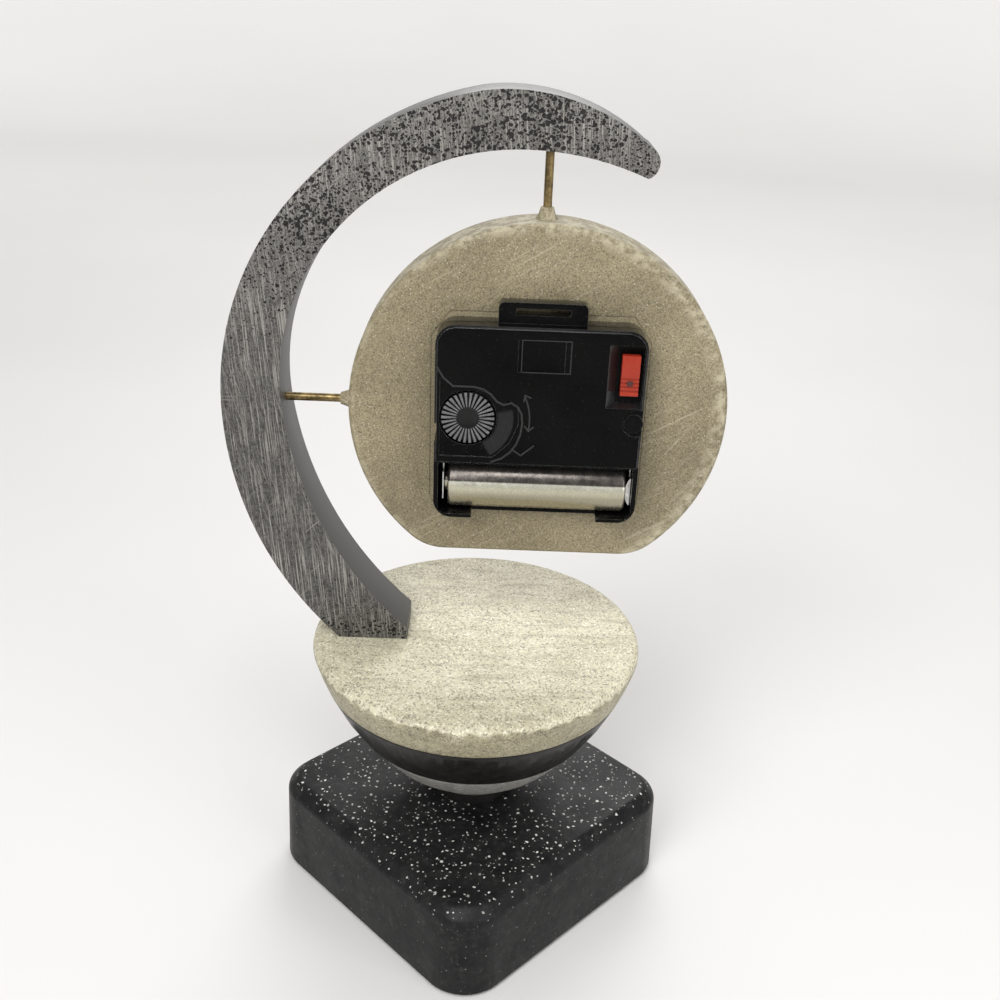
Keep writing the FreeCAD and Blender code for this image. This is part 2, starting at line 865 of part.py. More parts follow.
def make_clamp():
    seat = base_bottom + S.counterbore_depth
    washer_low = seat - S.clamp_washer_thickness
    head_low = washer_low - S.bolt_head_height
    shank = S.bolt_diameter / 2
    body = new_body("clamp_bolt")
    pad_up(body, "head", hexagon(S.bolt_head_diameter / 2), head_low, washer_low)
    sketch = sketch_on(body, "shank", "XY_Plane", washer_low)
    circle(sketch, ZERO, ZERO, shank)
    extrude(body, sketch, "Pad", bowl_bottom + S.bolt_reach - washer_low, False)
    washer = new_body("clamp_washer")
    sketch = sketch_on(washer, "ring", "XY_Plane", washer_low)
    circle(sketch, ZERO, ZERO, S.clamp_washer_diameter / 2)
    circle(sketch, ZERO, ZERO, shank + S.bolt_clearance)
    extrude(washer, sketch, "Pad", S.clamp_washer_thickness, False)
    collar = new_body("spacer_collar")
    sketch = sketch_on(collar, "ring", "XY_Plane", base_top)
    circle(sketch, ZERO, ZERO, S.collar_diameter / 2)
    circle(sketch, ZERO, ZERO, shank + S.bolt_clearance)
    extrude(collar, sketch, "Pad", S.collar_height, False)


# Layered bowl

def wall_corners(low, high):
    """Corners up the wall of the bowl between two heights."""
    levels = [low + (high - low) * share for share in WALL_SHARES]
    return [(radius_at(level), level) for level in levels]


def make_layer(label, low, high, bore):
    """One layer of the bowl, with or without a bore for the bolt."""
    body = new_body(label)
    turned_upright(body, "layer", [(bore, low), *wall_corners(low, high), (bore, high)])
    return body


def make_top_layer():
    """The top layer, whose upper edge is rounded over into the wall."""
    body = new_body("bowl_top_layer")
    lip_start = bowl_top - S.bowl_edge
    inside = radius_at(lip_start) - S.bowl_edge
    corners = [(ZERO, middle_layer_top)]
    corners += wall_corners(middle_layer_top, lip_start)
    corners += [(inside + S.bowl_edge * across, lip_start + S.bowl_edge * up) for across, up in LIP_SHARES]
    corners += [(inside, bowl_top), (ZERO, bowl_top)]
    turned_upright(body, "layer", corners)
    return body


def make_bowl():
    bolt_hole = S.bolt_diameter / 2 + S.bolt_clearance
    make_layer("bowl_bottom_layer", bowl_bottom, bottom_layer_top, bolt_hole)
    middle = make_layer("bowl_middle_layer", bottom_layer_top, middle_layer_top, ZERO)
    thread = S.bolt_diameter / 2 + S.thread_fit
    hole_top = bowl_bottom + S.bolt_reach + S.bolt_clearance
    corners = [(ZERO, bottom_layer_top), (thread, bottom_layer_top), (thread, hole_top), (ZERO, hole_top)]
    turned_upright(middle, "thread", corners, "Groove")
    top = make_top_layer()
    sketch = sketch_on(top, "dowel_holes", "XY_Plane", bowl_top)
    for across in (S.dowel_inner_place, S.dowel_outer_place):
        circle(sketch, across, arm_middle, S.dowel_diameter / 2 + S.dowel_fit)
    extrude(top, sketch, "Pocket", S.dowel_depth + S.rod_end_gap, False)


# Crescent arm

def arm_corners():
    """The crescent's outline: up the outer side, over the crown, round the tip and back inside."""
    foot = bowl_top
    top_x = -S.arm_top_offset
    belly_z = arm_top - S.arm_belly_drop
    crown = S.arm_crown_radius
    crown_z = arm_top - crown
    wide = S.arm_reach - top_x
    high = crown_z - belly_z
    side = (wide * wide + high * high - crown * crown) / ((wide - crown) * 2)
    side_x = S.arm_reach - side
    lean_x = (top_x - side_x) / (side - crown)
    lean_z = high / (side - crown)
    shoulder = (top_x + crown * lean_x, crown_z + crown * lean_z)
    foot_run = S.arm_reach - S.arm_foot_outer
    foot_drop = belly_z - foot
    low = (foot_run * foot_run + foot_drop * foot_drop) / (foot_run * 2)
    tip_x = -S.arm_tip_start
    tip_run = tip_x - top_x
    tip_rise = square_root(S.arm_tip_radius * S.arm_tip_radius - tip_run * tip_run)
    tip_outer = arm_top - S.arm_tip_radius + tip_rise
    tip_inner = inner_arm_z(S.arm_tip_start)
    chord = (tip_outer - tip_inner) / 2
    tip_radius = (chord * chord + S.arm_tip_bulge * S.arm_tip_bulge) / (S.arm_tip_bulge * 2)
    join_x = inner_top_x + inner_crown * cosine(S.arm_join_angle)
    join_z = inner_crown_z - inner_crown * sine(S.arm_join_angle)
    heel = foot + S.arm_heel_rise
    run = inner_top_x - S.arm_foot_inner
    rise = inner_crown_z - heel
    slant = run * cosine(S.arm_join_angle) - rise * sine(S.arm_join_angle)
    growth = (run * run + rise * rise - inner_crown * inner_crown) / ((slant + inner_crown) * 2)
    inner_low = inner_crown + growth
    return [
        (S.arm_foot_outer, foot, low, 1),
        (S.arm_reach, belly_z, side, 1),
        (shoulder[0], shoulder[1], crown, 1),
        (top_x, arm_top, S.arm_tip_radius, 1),
        (tip_x, tip_outer, tip_radius, 1),
        (tip_x, tip_inner, S.arm_inner_tip_radius, -1),
        (inner_top_x, inner_top_z, inner_crown, -1),
        (join_x, join_z, inner_low, -1),
        (S.arm_foot_inner, heel),
        (S.arm_foot_inner, foot),
    ]


def make_arm():
    body = new_body("crescent_arm")
    pad_back(body, "crescent", arm_corners(), arm_front, S.arm_rear)
    sketch = sketch_on(body, "dowel_holes", "XY_Plane", bowl_top)
    for across in (S.dowel_inner_place, S.dowel_outer_place):
        circle(sketch, across, arm_middle, S.dowel_diameter / 2 + S.dowel_fit)
    extrude(body, sketch, "Pocket", S.dowel_rise + S.rod_end_gap, True)
    bore = S.rod_diameter / 2 + S.rod_fit
    deep = S.rod_seat + S.rod_end_gap
    sketch = sketch_on(body, "top_rod_hole", "XY_Plane", inner_arm_z(S.disc_offset) + deep)
    circle(sketch, axis_x, disc_middle, bore)
    extrude(body, sketch, "Pocket", S.rod_seat * 2, False)
    sketch = sketch_on(body, "side_rod_hole", "YZ_Plane", inner_arm_x(axis_z) + deep)
    circle(sketch, disc_middle, axis_z, bore)
    extrude(body, sketch, "Pocket", S.rod_seat * 2, False)
    dowels = new_body("arm_dowels")
    sketch = sketch_on(dowels, "pins", "XY_Plane", bowl_top - S.dowel_depth)
    for across in (S.dowel_inner_place, S.dowel_outer_place):
        circle(sketch, across, arm_middle, S.dowel_diameter / 2)
    extrude(dowels, sketch, "Pad", S.dowel_depth + S.dowel_rise, False)



def rod_body(label):
    """A body whose vertical axis is the axis of the hanging rods' plane."""
    return new_body(label, axis_x, disc_middle, axis_z)


def make_rods():
    inside = S.disc_radius - S.rod_seat
    top_end = inner_arm_z(S.disc_offset) + S.rod_seat - axis_z
    top = rod_body("top_rod")
    sketch = sketch_on(top, "bar", "XY_Plane", inside)
    circle(sketch, ZERO, ZERO, S.rod_diameter / 2)
    extrude(top, sketch, "Pad", top_end - inside, False)
    side_end = inner_arm_x(axis_z) + S.rod_seat - axis_x
    side = rod_body("side_rod")
    sketch = sketch_on(side, "bar", "YZ_Plane", inside)
    circle(sketch, ZERO, ZERO, S.rod_diameter / 2)
    extrude(side, sketch, "Pad", side_end - inside, False)


# Cast disc with its markers

def make_disc():
    wide = S.disc_radius
    drop = S.disc_flat_drop
    chord = square_root(wide * wide - drop * drop)
    body = clock_body("clock_disc")
    corners = [
        (chord, -drop, wide, 1),
        (wide, ZERO, wide, 1),
        (ZERO, wide, wide, 1),
        (-wide, ZERO, wide, 1),
        (-chord, -drop),
    ]
    pad_back(body, "disc", corners, disc_front, S.disc_rear)
    on_flat = level_edge("z", -drop)
    corner = lambda edge: on_flat(edge) and runs_deep(edge)
    soften(body, "flat_corners", "Fillet", S.disc_flat_corner_radius, corner)
    soften(body, "rear_edge", "Chamfer", S.disc_rear_edge, level_edge("y", S.disc_rear))
    soften(body, "front_edge", "Chamfer", S.disc_front_edge, level_edge("y", disc_front))
    root = wide - S.boss_root
    crest = wide + S.boss_rise
    waist = wide + S.boss_waist_rise
    cone = [
        (ZERO, root),
        (S.boss_base_radius, root),
        (S.boss_waist_radius, waist),
        (S.boss_tip_radius, crest),
        (ZERO, crest),
    ]
    spin(body, "top_boss", cone, "XZ_Plane", "V_Axis", disc_middle)
    side_cone = [
        (root, ZERO),
        (crest, ZERO),
        (crest, S.boss_tip_radius),
        (waist, S.boss_waist_radius),
        (root, S.boss_base_radius),
    ]
    spin(body, "side_boss", side_cone, "XZ_Plane", "H_Axis", disc_middle)
    bore = S.rod_diameter / 2 + S.rod_fit
    deep = wide - S.rod_seat - S.rod_end_gap
    open_end = crest + S.cut_overrun
    top_way = box_corners(ZERO, bore, deep, open_end)
    side_way = box_corners(deep, open_end, ZERO, bore)
    spin(body, "top_hole", top_way, "XZ_Plane", "V_Axis", disc_middle, "Groove")
    spin(body, "side_hole", side_way, "XZ_Plane", "H_Axis", disc_middle, "Groove")
    side = S.case_half_width + S.pocket_gap
    high = case_top + S.pocket_gap
    low = -S.case_bottom_reach - S.pocket_gap
    bend = S.pocket_corner_radius
    pocket = [
        (-side + bend, low),
        (side - bend, low, bend, 1),
        (side, low + bend),
        (side, high - S.pocket_chamfer_down),
        (side - S.pocket_chamfer_across, high),
        (-side + S.pocket_chamfer_across, high),
        (-side, high - S.pocket_chamfer_down),
        (-side, low + bend, bend, 1),
    ]
    cut_back(body, "pocket", pocket, pocket_floor, S.disc_rear + S.cut_overrun)
    drill_back(body, "bore", [(ZERO, ZERO, S.dial_bore / 2)], disc_front - S.cut_overrun, pocket_floor)


def make_markers():
    body = clock_body("hour_markers")
    sketch = sketch_on(body, "diamonds", "XZ_Plane", disc_front - S.marker_height)
    for hour in range(MARKERS):
        turn = math.radians(FULL_TURN * hour / MARKERS)
        plain = hour % QUARTER
        half = S.marker_width / 2 if plain else S.quarter_marker_width / 2
        across = S.marker_ring_radius * math.sin(turn)
        up = S.marker_ring_radius * math.cos(turn)
        outline(sketch, [(across + half, up), (across, up + half), (across - half, up), (across, up - half)])
    extrude(body, sketch, "Pad", S.marker_height, True)


# Washers, threaded bushing and nut that hold the movement on the disc

def make_fixings():
    tube = S.bushing_diameter / 2
    rubber = clock_body("rubber_washer")
    rings = [(ZERO, ZERO, S.rubber_washer_diameter / 2), (ZERO, ZERO, S.dial_bore / 2)]
    studs(rubber, "ring", rings, pocket_floor, case_front)
    flange = S.bushing_flange_diameter / 2
    flange_front = case_floor - S.bushing_flange_thickness
    bore = S.bushing_bore / 2
    bushing = clock_body("threaded_bushing")
    corners = [
        (bore, bushing_front),
        (tube, bushing_front),
        (tube, flange_front),
        (flange, flange_front),
        (flange, case_floor),
        (bore, case_floor),
    ]
    turned_deep(bushing, "bushing", corners)
    washer = clock_body("brass_washer")
    rings = [(ZERO, ZERO, S.brass_washer_diameter / 2), (ZERO, ZERO, tube + S.thread_fit)]
    studs(washer, "ring", rings, washer_front, disc_front)
    nut = clock_body("hex_nut")
    nut_hole = [(ZERO, ZERO, tube + S.thread_fit)]
    pad_back(nut, "nut", hexagon(S.nut_diameter / 2), nut_front, washer_front, nut_hole)


# Movement case, middle plate and rear cover

def arch_corners(side, low, high, bend):
    """Corners of a box with round upper corners."""
    return [
        (-side, low),
        (side, low),
        (side, high - bend, bend, 1),
        (side - bend, high),
        (-side + bend, high, bend, 1),
        (-side, high - bend),
    ]


bay_top = -S.bay_top_drop
partition_top = bay_top + S.case_wall
partition_low = bay_top - S.partition_drop
bay_bottom = -S.case_bottom_reach + S.bay_floor_wall
battery_y = case_rear + S.battery_proud - S.battery_radius
battery_z = bay_bottom + S.bay_gap + S.battery_radius
room_side = S.case_half_width - S.case_wall
room_high = case_top - S.case_wall
room_bend = S.case_top_corner_radius - S.case_wall
leg_half = S.contact_leg_width / 2


def make_case():
    side = S.case_half_width
    low = -S.case_bottom_reach
    body = clock_body("movement_case")
    corners = (S.case_bottom_corner_radius, S.case_top_corner_radius)
    shell = round_corners(-side, side, low, case_top, *corners)
    pad_back(body, "shell", shell, case_front, case_rim)
    bend = S.case_bottom_corner_radius
    bay_block = [
        (-side + bend, low),
        (side - bend, low, bend, 1),
        (side, low + bend),
        (side, bay_top),
        (-side, bay_top),
        (-side, low + bend, bend, 1),
    ]
    pad_back(body, "bay_block", bay_block, case_rim, case_rear)
    partition = box_corners(-room_side, room_side, partition_low, partition_top)
    pad_back(body, "partition", partition, case_rim, cover_ceiling)
    room = arch_corners(room_side, partition_top, room_high, room_bend)
    cut_back(body, "wheel_room", room, case_floor, case_rim + S.cut_overrun)
    inner = S.bay_corner_radius
    bay = [
        (-room_side + inner, bay_bottom),
        (room_side - inner, bay_bottom, inner, 1),
        (room_side, bay_bottom + inner),
        (room_side, partition_low),
        (-room_side, partition_low),
        (-room_side, bay_bottom + inner, inner, 1),
    ]
    cut_back(body, "battery_bay", bay, case_floor, case_rear + S.cut_overrun)
    lip = box_corners(-S.foot_inner, S.foot_inner, low - S.cut_overrun, bay_bottom + S.bay_gap)
    cut_back(body, "finger_lip", lip, case_rear - S.bay_lip_setback, case_rear + S.cut_overrun)
    gap = S.contact_leg_gap
    right_leg = S.nub_reach + S.contact_fit
    left_leg = S.spring_wall_gap - room_side
    for name, leg in (("left_way", left_leg), ("right_way", right_leg)):
        rear_side = leg + S.contact_thickness + gap
        way = box_corners(leg - gap, rear_side, partition_low - S.contact_fit, partition_top + S.contact_fit)
        cut_back(body, name, way, battery_y - leg_half - gap, battery_y + leg_half + gap)
    tube = S.bushing_diameter / 2 + S.thread_fit
    flange = S.bushing_flange_diameter / 2 + S.thread_fit
    drill_back(body, "bushing_hole", [(ZERO, ZERO, tube)], case_front - S.cut_overrun, case_floor)
    flange_front = case_floor - S.bushing_flange_thickness
    drill_back(body, "flange_seat", [(ZERO, ZERO, flange)], flange_front, case_floor)
    post_top = case_floor + S.post_top_level
    studs(body, "wheel_post", [(motion_x, motion_z, S.wheel_post_radius)], case_floor, post_top)
    pivot_top = case_floor + S.pivot_post_level
    studs(body, "pivot_post", [(third_x, third_z, S.pivot_post_radius)], case_floor, pivot_top)
    pivot_hole = [(third_x, third_z, S.arbor_radius + S.pivot_clearance)]
    drill_back(body, "pivot_hole", pivot_hole, pivot_top - S.pivot_hole_depth, pivot_top)
    knob_hole = [(knob_x, knob_z, S.knob_shaft_radius + S.pivot_clearance)]
    pivot_front = case_floor - S.knob_pivot_depth - S.pivot_clearance
    drill_back(body, "knob_pivot", knob_hole, pivot_front, case_floor)


stator_front = plate_rear + S.stator_standoff
board_front = plate_rear + S.board_standoff
board_rear = board_front + S.board_thickness


def make_plate():
    body = clock_body("middle_plate")
    high = case_top - S.plate_inset
    bend = S.case_top_corner_radius - S.plate_inset
    slab = arch_corners(S.case_half_width - S.plate_inset, partition_top + S.plate_fit, high, bend)
    fine = S.arbor_radius + S.pivot_clearance
    holes = [
        (ZERO, ZERO, S.minute_arbor_radius + S.pivot_clearance),
        (third_x, third_z, fine),
        (intermediate_x, intermediate_z, fine),
        (rotor_x, rotor_z, fine),
        (knob_x, knob_z, S.knob_shaft_radius + S.pivot_clearance),
    ]
    pad_back(body, "plate", slab, case_rim, plate_rear, holes)
    across = S.stator_post_across
    posts = [(across, S.stator_post_up, S.post_radius), (-across, S.stator_post_up, S.post_radius)]
    studs(body, "stator_posts", posts, plate_rear, stator_front)
    across = -S.board_post_across
    posts = [(across, S.board_post_up, S.post_radius), (across, -S.board_post_down, S.post_radius)]
    studs(body, "board_posts", posts, plate_rear, board_front)


def make_cover():
    side = S.case_half_width
    high = case_top
    body = clock_body("rear_cover")
    pad_back(body, "block", arch_corners(side, bay_top, high, S.case_top_corner_radius), case_rim, case_rear)
    at_rear = level_edge("y", case_rear)
    at_bay = level_edge("z", bay_top)
    soften(body, "rear_edge", "Chamfer", S.case_edge, lambda edge: at_rear(edge) and not at_bay(edge))
    room = arch_corners(room_side, bay_top - S.cut_overrun, room_high, room_bend)
    cut_back(body, "room", room, case_rim, cover_ceiling)
    ledge = S.plate_inset - S.plate_fit
    rebate_radius = S.case_top_corner_radius - ledge
    rebate = arch_corners(side - ledge, bay_top - S.cut_overrun, high - ledge, rebate_radius)
    cut_back(body, "plate_seat", rebate, case_rim, plate_rear + S.plate_fit)
    make_tab(body)
    label_low = S.label_up - S.label_half_height
    label_high = S.label_up + S.label_half_height
    label = box_corners(-S.label_half_width, S.label_half_width, label_low, label_high)
    cut_back(body, "bare_label", label, case_rear - S.label_depth, case_rear + S.cut_overrun)
    make_knob_seat(body)
    make_slider_seat(body)
    notch = [(-S.peg_across, S.peg_up, S.peg_notch_radius)]
    drill_back(body, "peg_notch", notch, case_rear - S.peg_notch_depth, case_rear + S.cut_overrun)
    peg = [(-S.peg_across + S.peg_notch_depth, S.peg_up, S.peg_radius)]
    studs(body, "peg", peg, case_rear - S.case_wall, case_rear)
    grip_high = -S.finger_notch_top
    grip_low = grip_high - S.finger_notch_length
    grip = box_corners(side - S.finger_notch_depth, side + S.cut_overrun, grip_low, grip_high)
    cut_back(body, "finger_notch", grip, case_rim, case_rear + S.cut_overrun)
    front = cover_ceiling - S.pivot_boss_length
    bosses = [(x, z, S.pivot_boss_radius) for x, z, radius in rear_pivots]
    studs(body, "pivot_bosses", bosses, front, cover_ceiling)
    holes = [(x, z, radius + S.pivot_clearance) for x, z, radius in rear_pivots]
    drill_back(body, "pivot_holes", holes, front, front + S.pivot_hole_depth)


def make_tab(body):
    """The hanging loop above the cover."""
    low = case_top - S.case_wall
    high = case_top + S.tab_rise
    tab_rear = case_rear - S.tab_setback
    tab_front = tab_rear - S.tab_thickness
    tab = arch_corners(S.tab_half_width, low, high, S.tab_corner_radius)
    pad_back(body, "tab", tab, tab_front, tab_rear)
    slot_low = case_top + S.tab_slot_up
    reach = S.tab_slot_half_length
    slot = box_corners(-reach, reach, slot_low, slot_low + S.tab_slot_height)
    cut_back(body, "tab_slot", slot, tab_front - S.cut_overrun, tab_rear + S.cut_overrun)


def make_knob_seat(body):
    """The round well of the setting knob and the sunken fan beside it."""
    floor_rear = case_rear - S.knob_recess_depth
    floor_front = floor_rear - S.slider_floor_wall
    cup = [(knob_x, knob_z, S.knob_recess_radius + S.knob_cup_wall)]
    studs(body, "knob_cup", cup, floor_front, cover_ceiling)
    fan = [(S.case_half_width * across, S.bay_top_drop * up) for across, up in reversed(FAN_OUTLINE_SHARES)]
    cut_back(body, "fan", fan, case_rear - S.fan_recess_depth, case_rear + S.cut_overrun)
    well = [(knob_x, knob_z, S.knob_recess_radius)]
    drill_back(body, "knob_well", well, floor_rear, case_rear + S.cut_overrun)
    bore = [(knob_x, knob_z, S.knob_shaft_radius + S.pivot_clearance)]
    drill_back(body, "knob_bore", bore, floor_front - S.cut_overrun, floor_rear)


slider_floor = case_rear - S.slider_recess_depth


def make_slider_seat(body):
    """The sunken frame of the slider with the slot for its stem."""
    inner = -S.slider_recess_inner
    outer = -S.slider_recess_outer
    front = slider_floor - S.slider_floor_wall
    wall = S.case_wall / 2
    low = S.slider_recess_low
    high = S.slider_recess_high
    cup = box_corners(outer - wall, inner + wall, low - wall, high + wall)
    pad_back(body, "slider_cup", cup, front, cover_ceiling)
    well = box_corners(outer, inner, low, high)
    cut_back(body, "slider_well", well, slider_floor, case_rear + S.cut_overrun)
    half = S.slider_stem_width / 2 + S.slider_clearance
    run = S.slider_stem_length / 2 + S.slider_travel + S.slider_clearance
    middle = -S.slider_across
    slot = box_corners(middle - half, middle + half, S.slider_up - run, S.slider_up + run)
    cut_back(body, "stem_slot", slot, front - S.cut_overrun, slider_floor)


def make_slider():
    body = clock_body("start_stop_slider")
    half = S.slider_width / 2
    left = -S.slider_across - half
    right = -S.slider_across + half
    low = S.slider_up - S.slider_length / 2
    high = S.slider_up + S.slider_length / 2
    rear = case_rear + S.slider_proud
    block_front = slider_floor + S.slider_clearance
    pad_back(body, "block", box_corners(left, right, low, high), block_front, rear)
    for rib in range(SLIDER_RIBS):
        groove = low + S.slider_rib_pitch * (rib + 1)
        groove_top = groove + S.slider_rib_pitch / 2
        corners = box_corners(left - S.cut_overrun, right + S.cut_overrun, groove, groove_top)
        cut_back(body, "groove%d" % rib, corners, rear - S.slider_rib_depth, rear + S.cut_overrun)
    half = S.slider_stem_width / 2
    run = S.slider_stem_length / 2
    middle = -S.slider_across
    stem = box_corners(middle - half, middle + half, S.slider_up - run, S.slider_up + run)
    tail = slider_floor - S.slider_floor_wall - S.slider_stem_tail
    pad_back(body, "stem", stem, tail, block_front)


# Battery and its two contacts

def battery_body(label):
    """A body whose X axis is the battery's axis."""
    return new_body(label, axis_x, battery_y, axis_z + battery_z)


battery_shoulder = S.nub_reach - S.nub_length
battery_tail = battery_shoulder - S.battery_length


def make_battery():
    body = battery_body("battery")
    wide = S.battery_radius
    bend = S.battery_edge
    corners = [
        (battery_tail, ZERO),
        (S.nub_reach, ZERO),
        (S.nub_reach, S.nub_radius),
        (battery_shoulder, S.nub_radius),
        (battery_shoulder, wide - bend),
        (battery_shoulder - bend, wide),
        (battery_tail + bend, wide),
        (battery_tail, wide - bend),
    ]
    spin(body, "cell", corners, "XY_Plane", "H_Axis")


def make_contacts():
    half = S.contact_width / 2
    top = partition_top + S.contact_leg_rise - battery_z
    positive = battery_body("positive_contact")
    plate = [
        (-half, -half),
        (half, -half),
        (half, half),
        (leg_half, half),
        (leg_half, top),
        (-leg_half, top),
        (-leg_half, half),
        (-half, half),
    ]
    sketch = sketch_on(positive, "plate", "YZ_Plane", S.nub_reach + S.contact_fit)
    outline(sketch, plate)
    extrude(positive, sketch, "Pad", S.contact_thickness, False)
    negative = battery_body("negative_contact")
    wall = -room_side + S.spring_wall_gap
    face = wall + S.contact_thickness
    crest = battery_tail - S.contact_fit
    bow = crest - face
    outer_curve = (half * half + bow * bow) / (bow * 2)
    leaf = [
        (face, -half, outer_curve, 1),
        (crest, ZERO, outer_curve, 1),
        (face, half),
        (wall, half),
        (wall, -half),
    ]
    pad_back(negative, "leaf", leaf, -half, half)
    pad_back(negative, "leg", box_corners(wall, face, half, top), -leg_half, leg_half)



# Circuit board with the quartz crystal and the covered chip

def make_electronics():
    board = clock_body("circuit_board")
    corners = box_corners(-S.board_outer, -S.board_inner, -S.board_low, S.board_high)
    pad_back(board, "board", corners, board_front, board_rear)
    chip = clock_body("chip")
    dome = [(-S.board_part_across, S.chip_up, S.chip_radius)]
    studs(chip, "dome", dome, board_rear, board_rear + S.chip_height)
    crystal_y = board_rear + S.crystal_radius + S.crystal_fit
    crystal = new_body("quartz_crystal", axis_x - S.board_part_across, crystal_y, axis_z - S.crystal_down)
    sketch = sketch_on(crystal, "can", "XY_Plane", ZERO)
    circle(sketch, ZERO, ZERO, S.crystal_radius)
    extrude(crystal, sketch, "Pad", S.crystal_length, False)


# Stator and coil

coil_y = stator_front + S.stator_thickness / 2
coil_z = S.stator_top - S.core_height / 2


def coil_body(label):
    """A body whose X axis is the coil's axis."""
    return new_body(label, axis_x, coil_y, axis_z + coil_z)


def make_coil():
    half = S.stator_half_length
    window = S.stator_window_half
    body = clock_body("stator")
    corners = box_corners(-half, half, S.stator_bottom, S.stator_top)
    rotor_hole = [(rotor_x, rotor_z, S.magnet_radius + S.rotor_gap)]
    pad_back(body, "plate", corners, stator_front, stator_front + S.stator_thickness, rotor_hole)
    opening = box_corners(-window, window, S.stator_waist, S.stator_top - S.core_height)
    rear = stator_front + S.stator_thickness + S.cut_overrun
    cut_back(body, "window", opening, stator_front - S.cut_overrun, rear)
    end = window - S.bobbin_end_gap
    shoulder = end - S.bobbin_flange
    core = S.bobbin_core_radius
    flange = S.bobbin_flange_radius
    bobbin = coil_body("coil_bobbin")
    corners = [
        (-end, ZERO),
        (end, ZERO),
        (end, flange),
        (shoulder, flange),
        (shoulder, core),
        (-shoulder, core),
        (-shoulder, flange),
        (-end, flange),
    ]
    spin(bobbin, "spool", corners, "XY_Plane", "H_Axis")
    high = S.core_height / 2 + S.bobbin_fit
    deep = S.stator_thickness / 2 + S.bobbin_fit
    sketch = sketch_on(bobbin, "core_way", "YZ_Plane", -end - S.cut_overrun)
    outline(sketch, box_corners(-deep, deep, -high, high))
    extrude(bobbin, sketch, "Pocket", (end + S.cut_overrun) * 2, True)
    winding = coil_body("coil_winding")
    reach = shoulder - S.coil_end_gap
    corners = box_corners(-reach, reach, core + S.bobbin_fit, S.coil_radius)
    spin(winding, "wire", corners, "XY_Plane", "H_Axis")


# Wheels of the movement

def wheel(label, shape, x=ZERO, z=ZERO):
    """A wheel made about its own axis and set on its place in the movement."""
    return shaped(label, shape, axis_x + x, ZERO, axis_z + z)


def at_level(level):
    """The depth of a level above the case floor."""
    return case_floor + level


def toothed(teeth, module, phase, level, thickness):
    return gear_disc(teeth, module, phase, at_level(level), thickness)


minute_wheel_phase = meshed_phase(ZERO, S.motion_angle, CANNON_TEETH, MINUTE_TEETH)


def make_hour_wheel():
    phase = meshed_phase(ZERO, S.motion_angle + HALF_TURN, MINUTE_PINION_TEETH, HOUR_TEETH)
    disc = toothed(HOUR_TEETH, hour_module, phase, S.hour_wheel_level, S.wheel_thickness)
    rear = at_level(S.hour_wheel_level) + S.wheel_thickness
    tube = shaft(S.hour_tube_radius, hour_tube_front, rear)
    wide = S.minute_arbor_radius + S.pivot_clearance
    bore = shaft(wide, hour_tube_front - S.cut_overrun, rear + S.cut_overrun)
    wheel("hour_wheel", joined(disc, tube).cut(bore))


def make_minute_wheel():
    disc = toothed(MINUTE_TEETH, S.motion_module, minute_wheel_phase, S.motion_level, S.wheel_thickness)
    pinion = toothed(MINUTE_PINION_TEETH, hour_module, ZERO, S.hour_wheel_level, S.pinion_thickness)
    front = at_level(S.hour_wheel_level)
    rear = at_level(S.motion_level) + S.wheel_thickness
    hub = shaft(S.wheel_hub_radius, front, rear)
    bore = shaft(S.wheel_post_radius + S.pivot_clearance, front - S.cut_overrun, rear + S.cut_overrun)
    wheel("minute_wheel", joined(disc, pinion, hub).cut(bore), motion_x, motion_z)


def make_minute_arbor():
    pinion = toothed(CANNON_TEETH, S.motion_module, ZERO, S.motion_level, S.pinion_thickness)
    rear = at_level(S.minute_arbor_rear_level)
    tube = shaft(S.minute_arbor_radius, minute_arbor_front, rear)
    wide = S.second_arbor_radius + S.pivot_clearance
    bore = shaft(wide, minute_arbor_front - S.cut_overrun, rear + S.cut_overrun)
    wheel("minute_arbor", joined(tube, pinion).cut(bore))


def make_centre_wheel():
    phase = meshed_phase(ZERO, S.third_angle + HALF_TURN, THIRD_PINION_TEETH, CENTRE_TEETH)
    disc = toothed(CENTRE_TEETH, centre_module, phase, S.centre_wheel_level, S.wheel_thickness)
    front = at_level(S.centre_wheel_level)
    rear = front + S.clutch_hub_length
    hub = shaft(S.clutch_hub_radius, front, rear)
    bore = shaft(S.minute_arbor_radius + S.pivot_clearance, front - S.cut_overrun, rear + S.cut_overrun)
    wheel("centre_wheel", joined(disc, hub).cut(bore))


def make_third_wheel():
    half_lead = (S.pinion_thickness - S.wheel_thickness) / 2
    phase = meshed_phase(ZERO, S.third_angle, SECOND_PINION_TEETH, THIRD_TEETH)
    disc = toothed(THIRD_TEETH, S.third_module, phase, S.third_wheel_level, S.wheel_thickness)
    pinion_level = S.centre_wheel_level - half_lead
    pinion = toothed(THIRD_PINION_TEETH, centre_module, ZERO, pinion_level, S.pinion_thickness)
    arbor = shaft(S.arbor_radius, at_level(S.arbor_front_level), at_level(S.arbor_rear_level))
    wheel("third_wheel", joined(disc, pinion, arbor), third_x, third_z)


def make_second_wheel():
    half_lead = (S.pinion_thickness - S.wheel_thickness) / 2
    disc = toothed(SECOND_TEETH, S.second_module, ZERO, S.second_wheel_level, S.wheel_thickness)
    pinion_level = S.third_wheel_level - half_lead
    pinion = toothed(SECOND_PINION_TEETH, S.third_module, ZERO, pinion_level, S.pinion_thickness)
    hub_end = at_level(S.second_wheel_level) + S.wheel_thickness
    hub = shaft(S.arbor_hub_radius, at_level(pinion_level), hub_end)
    arbor = shaft(S.second_arbor_radius, second_arbor_front, at_level(S.arbor_rear_level))
    wheel("second_wheel", joined(disc, pinion, hub, arbor))


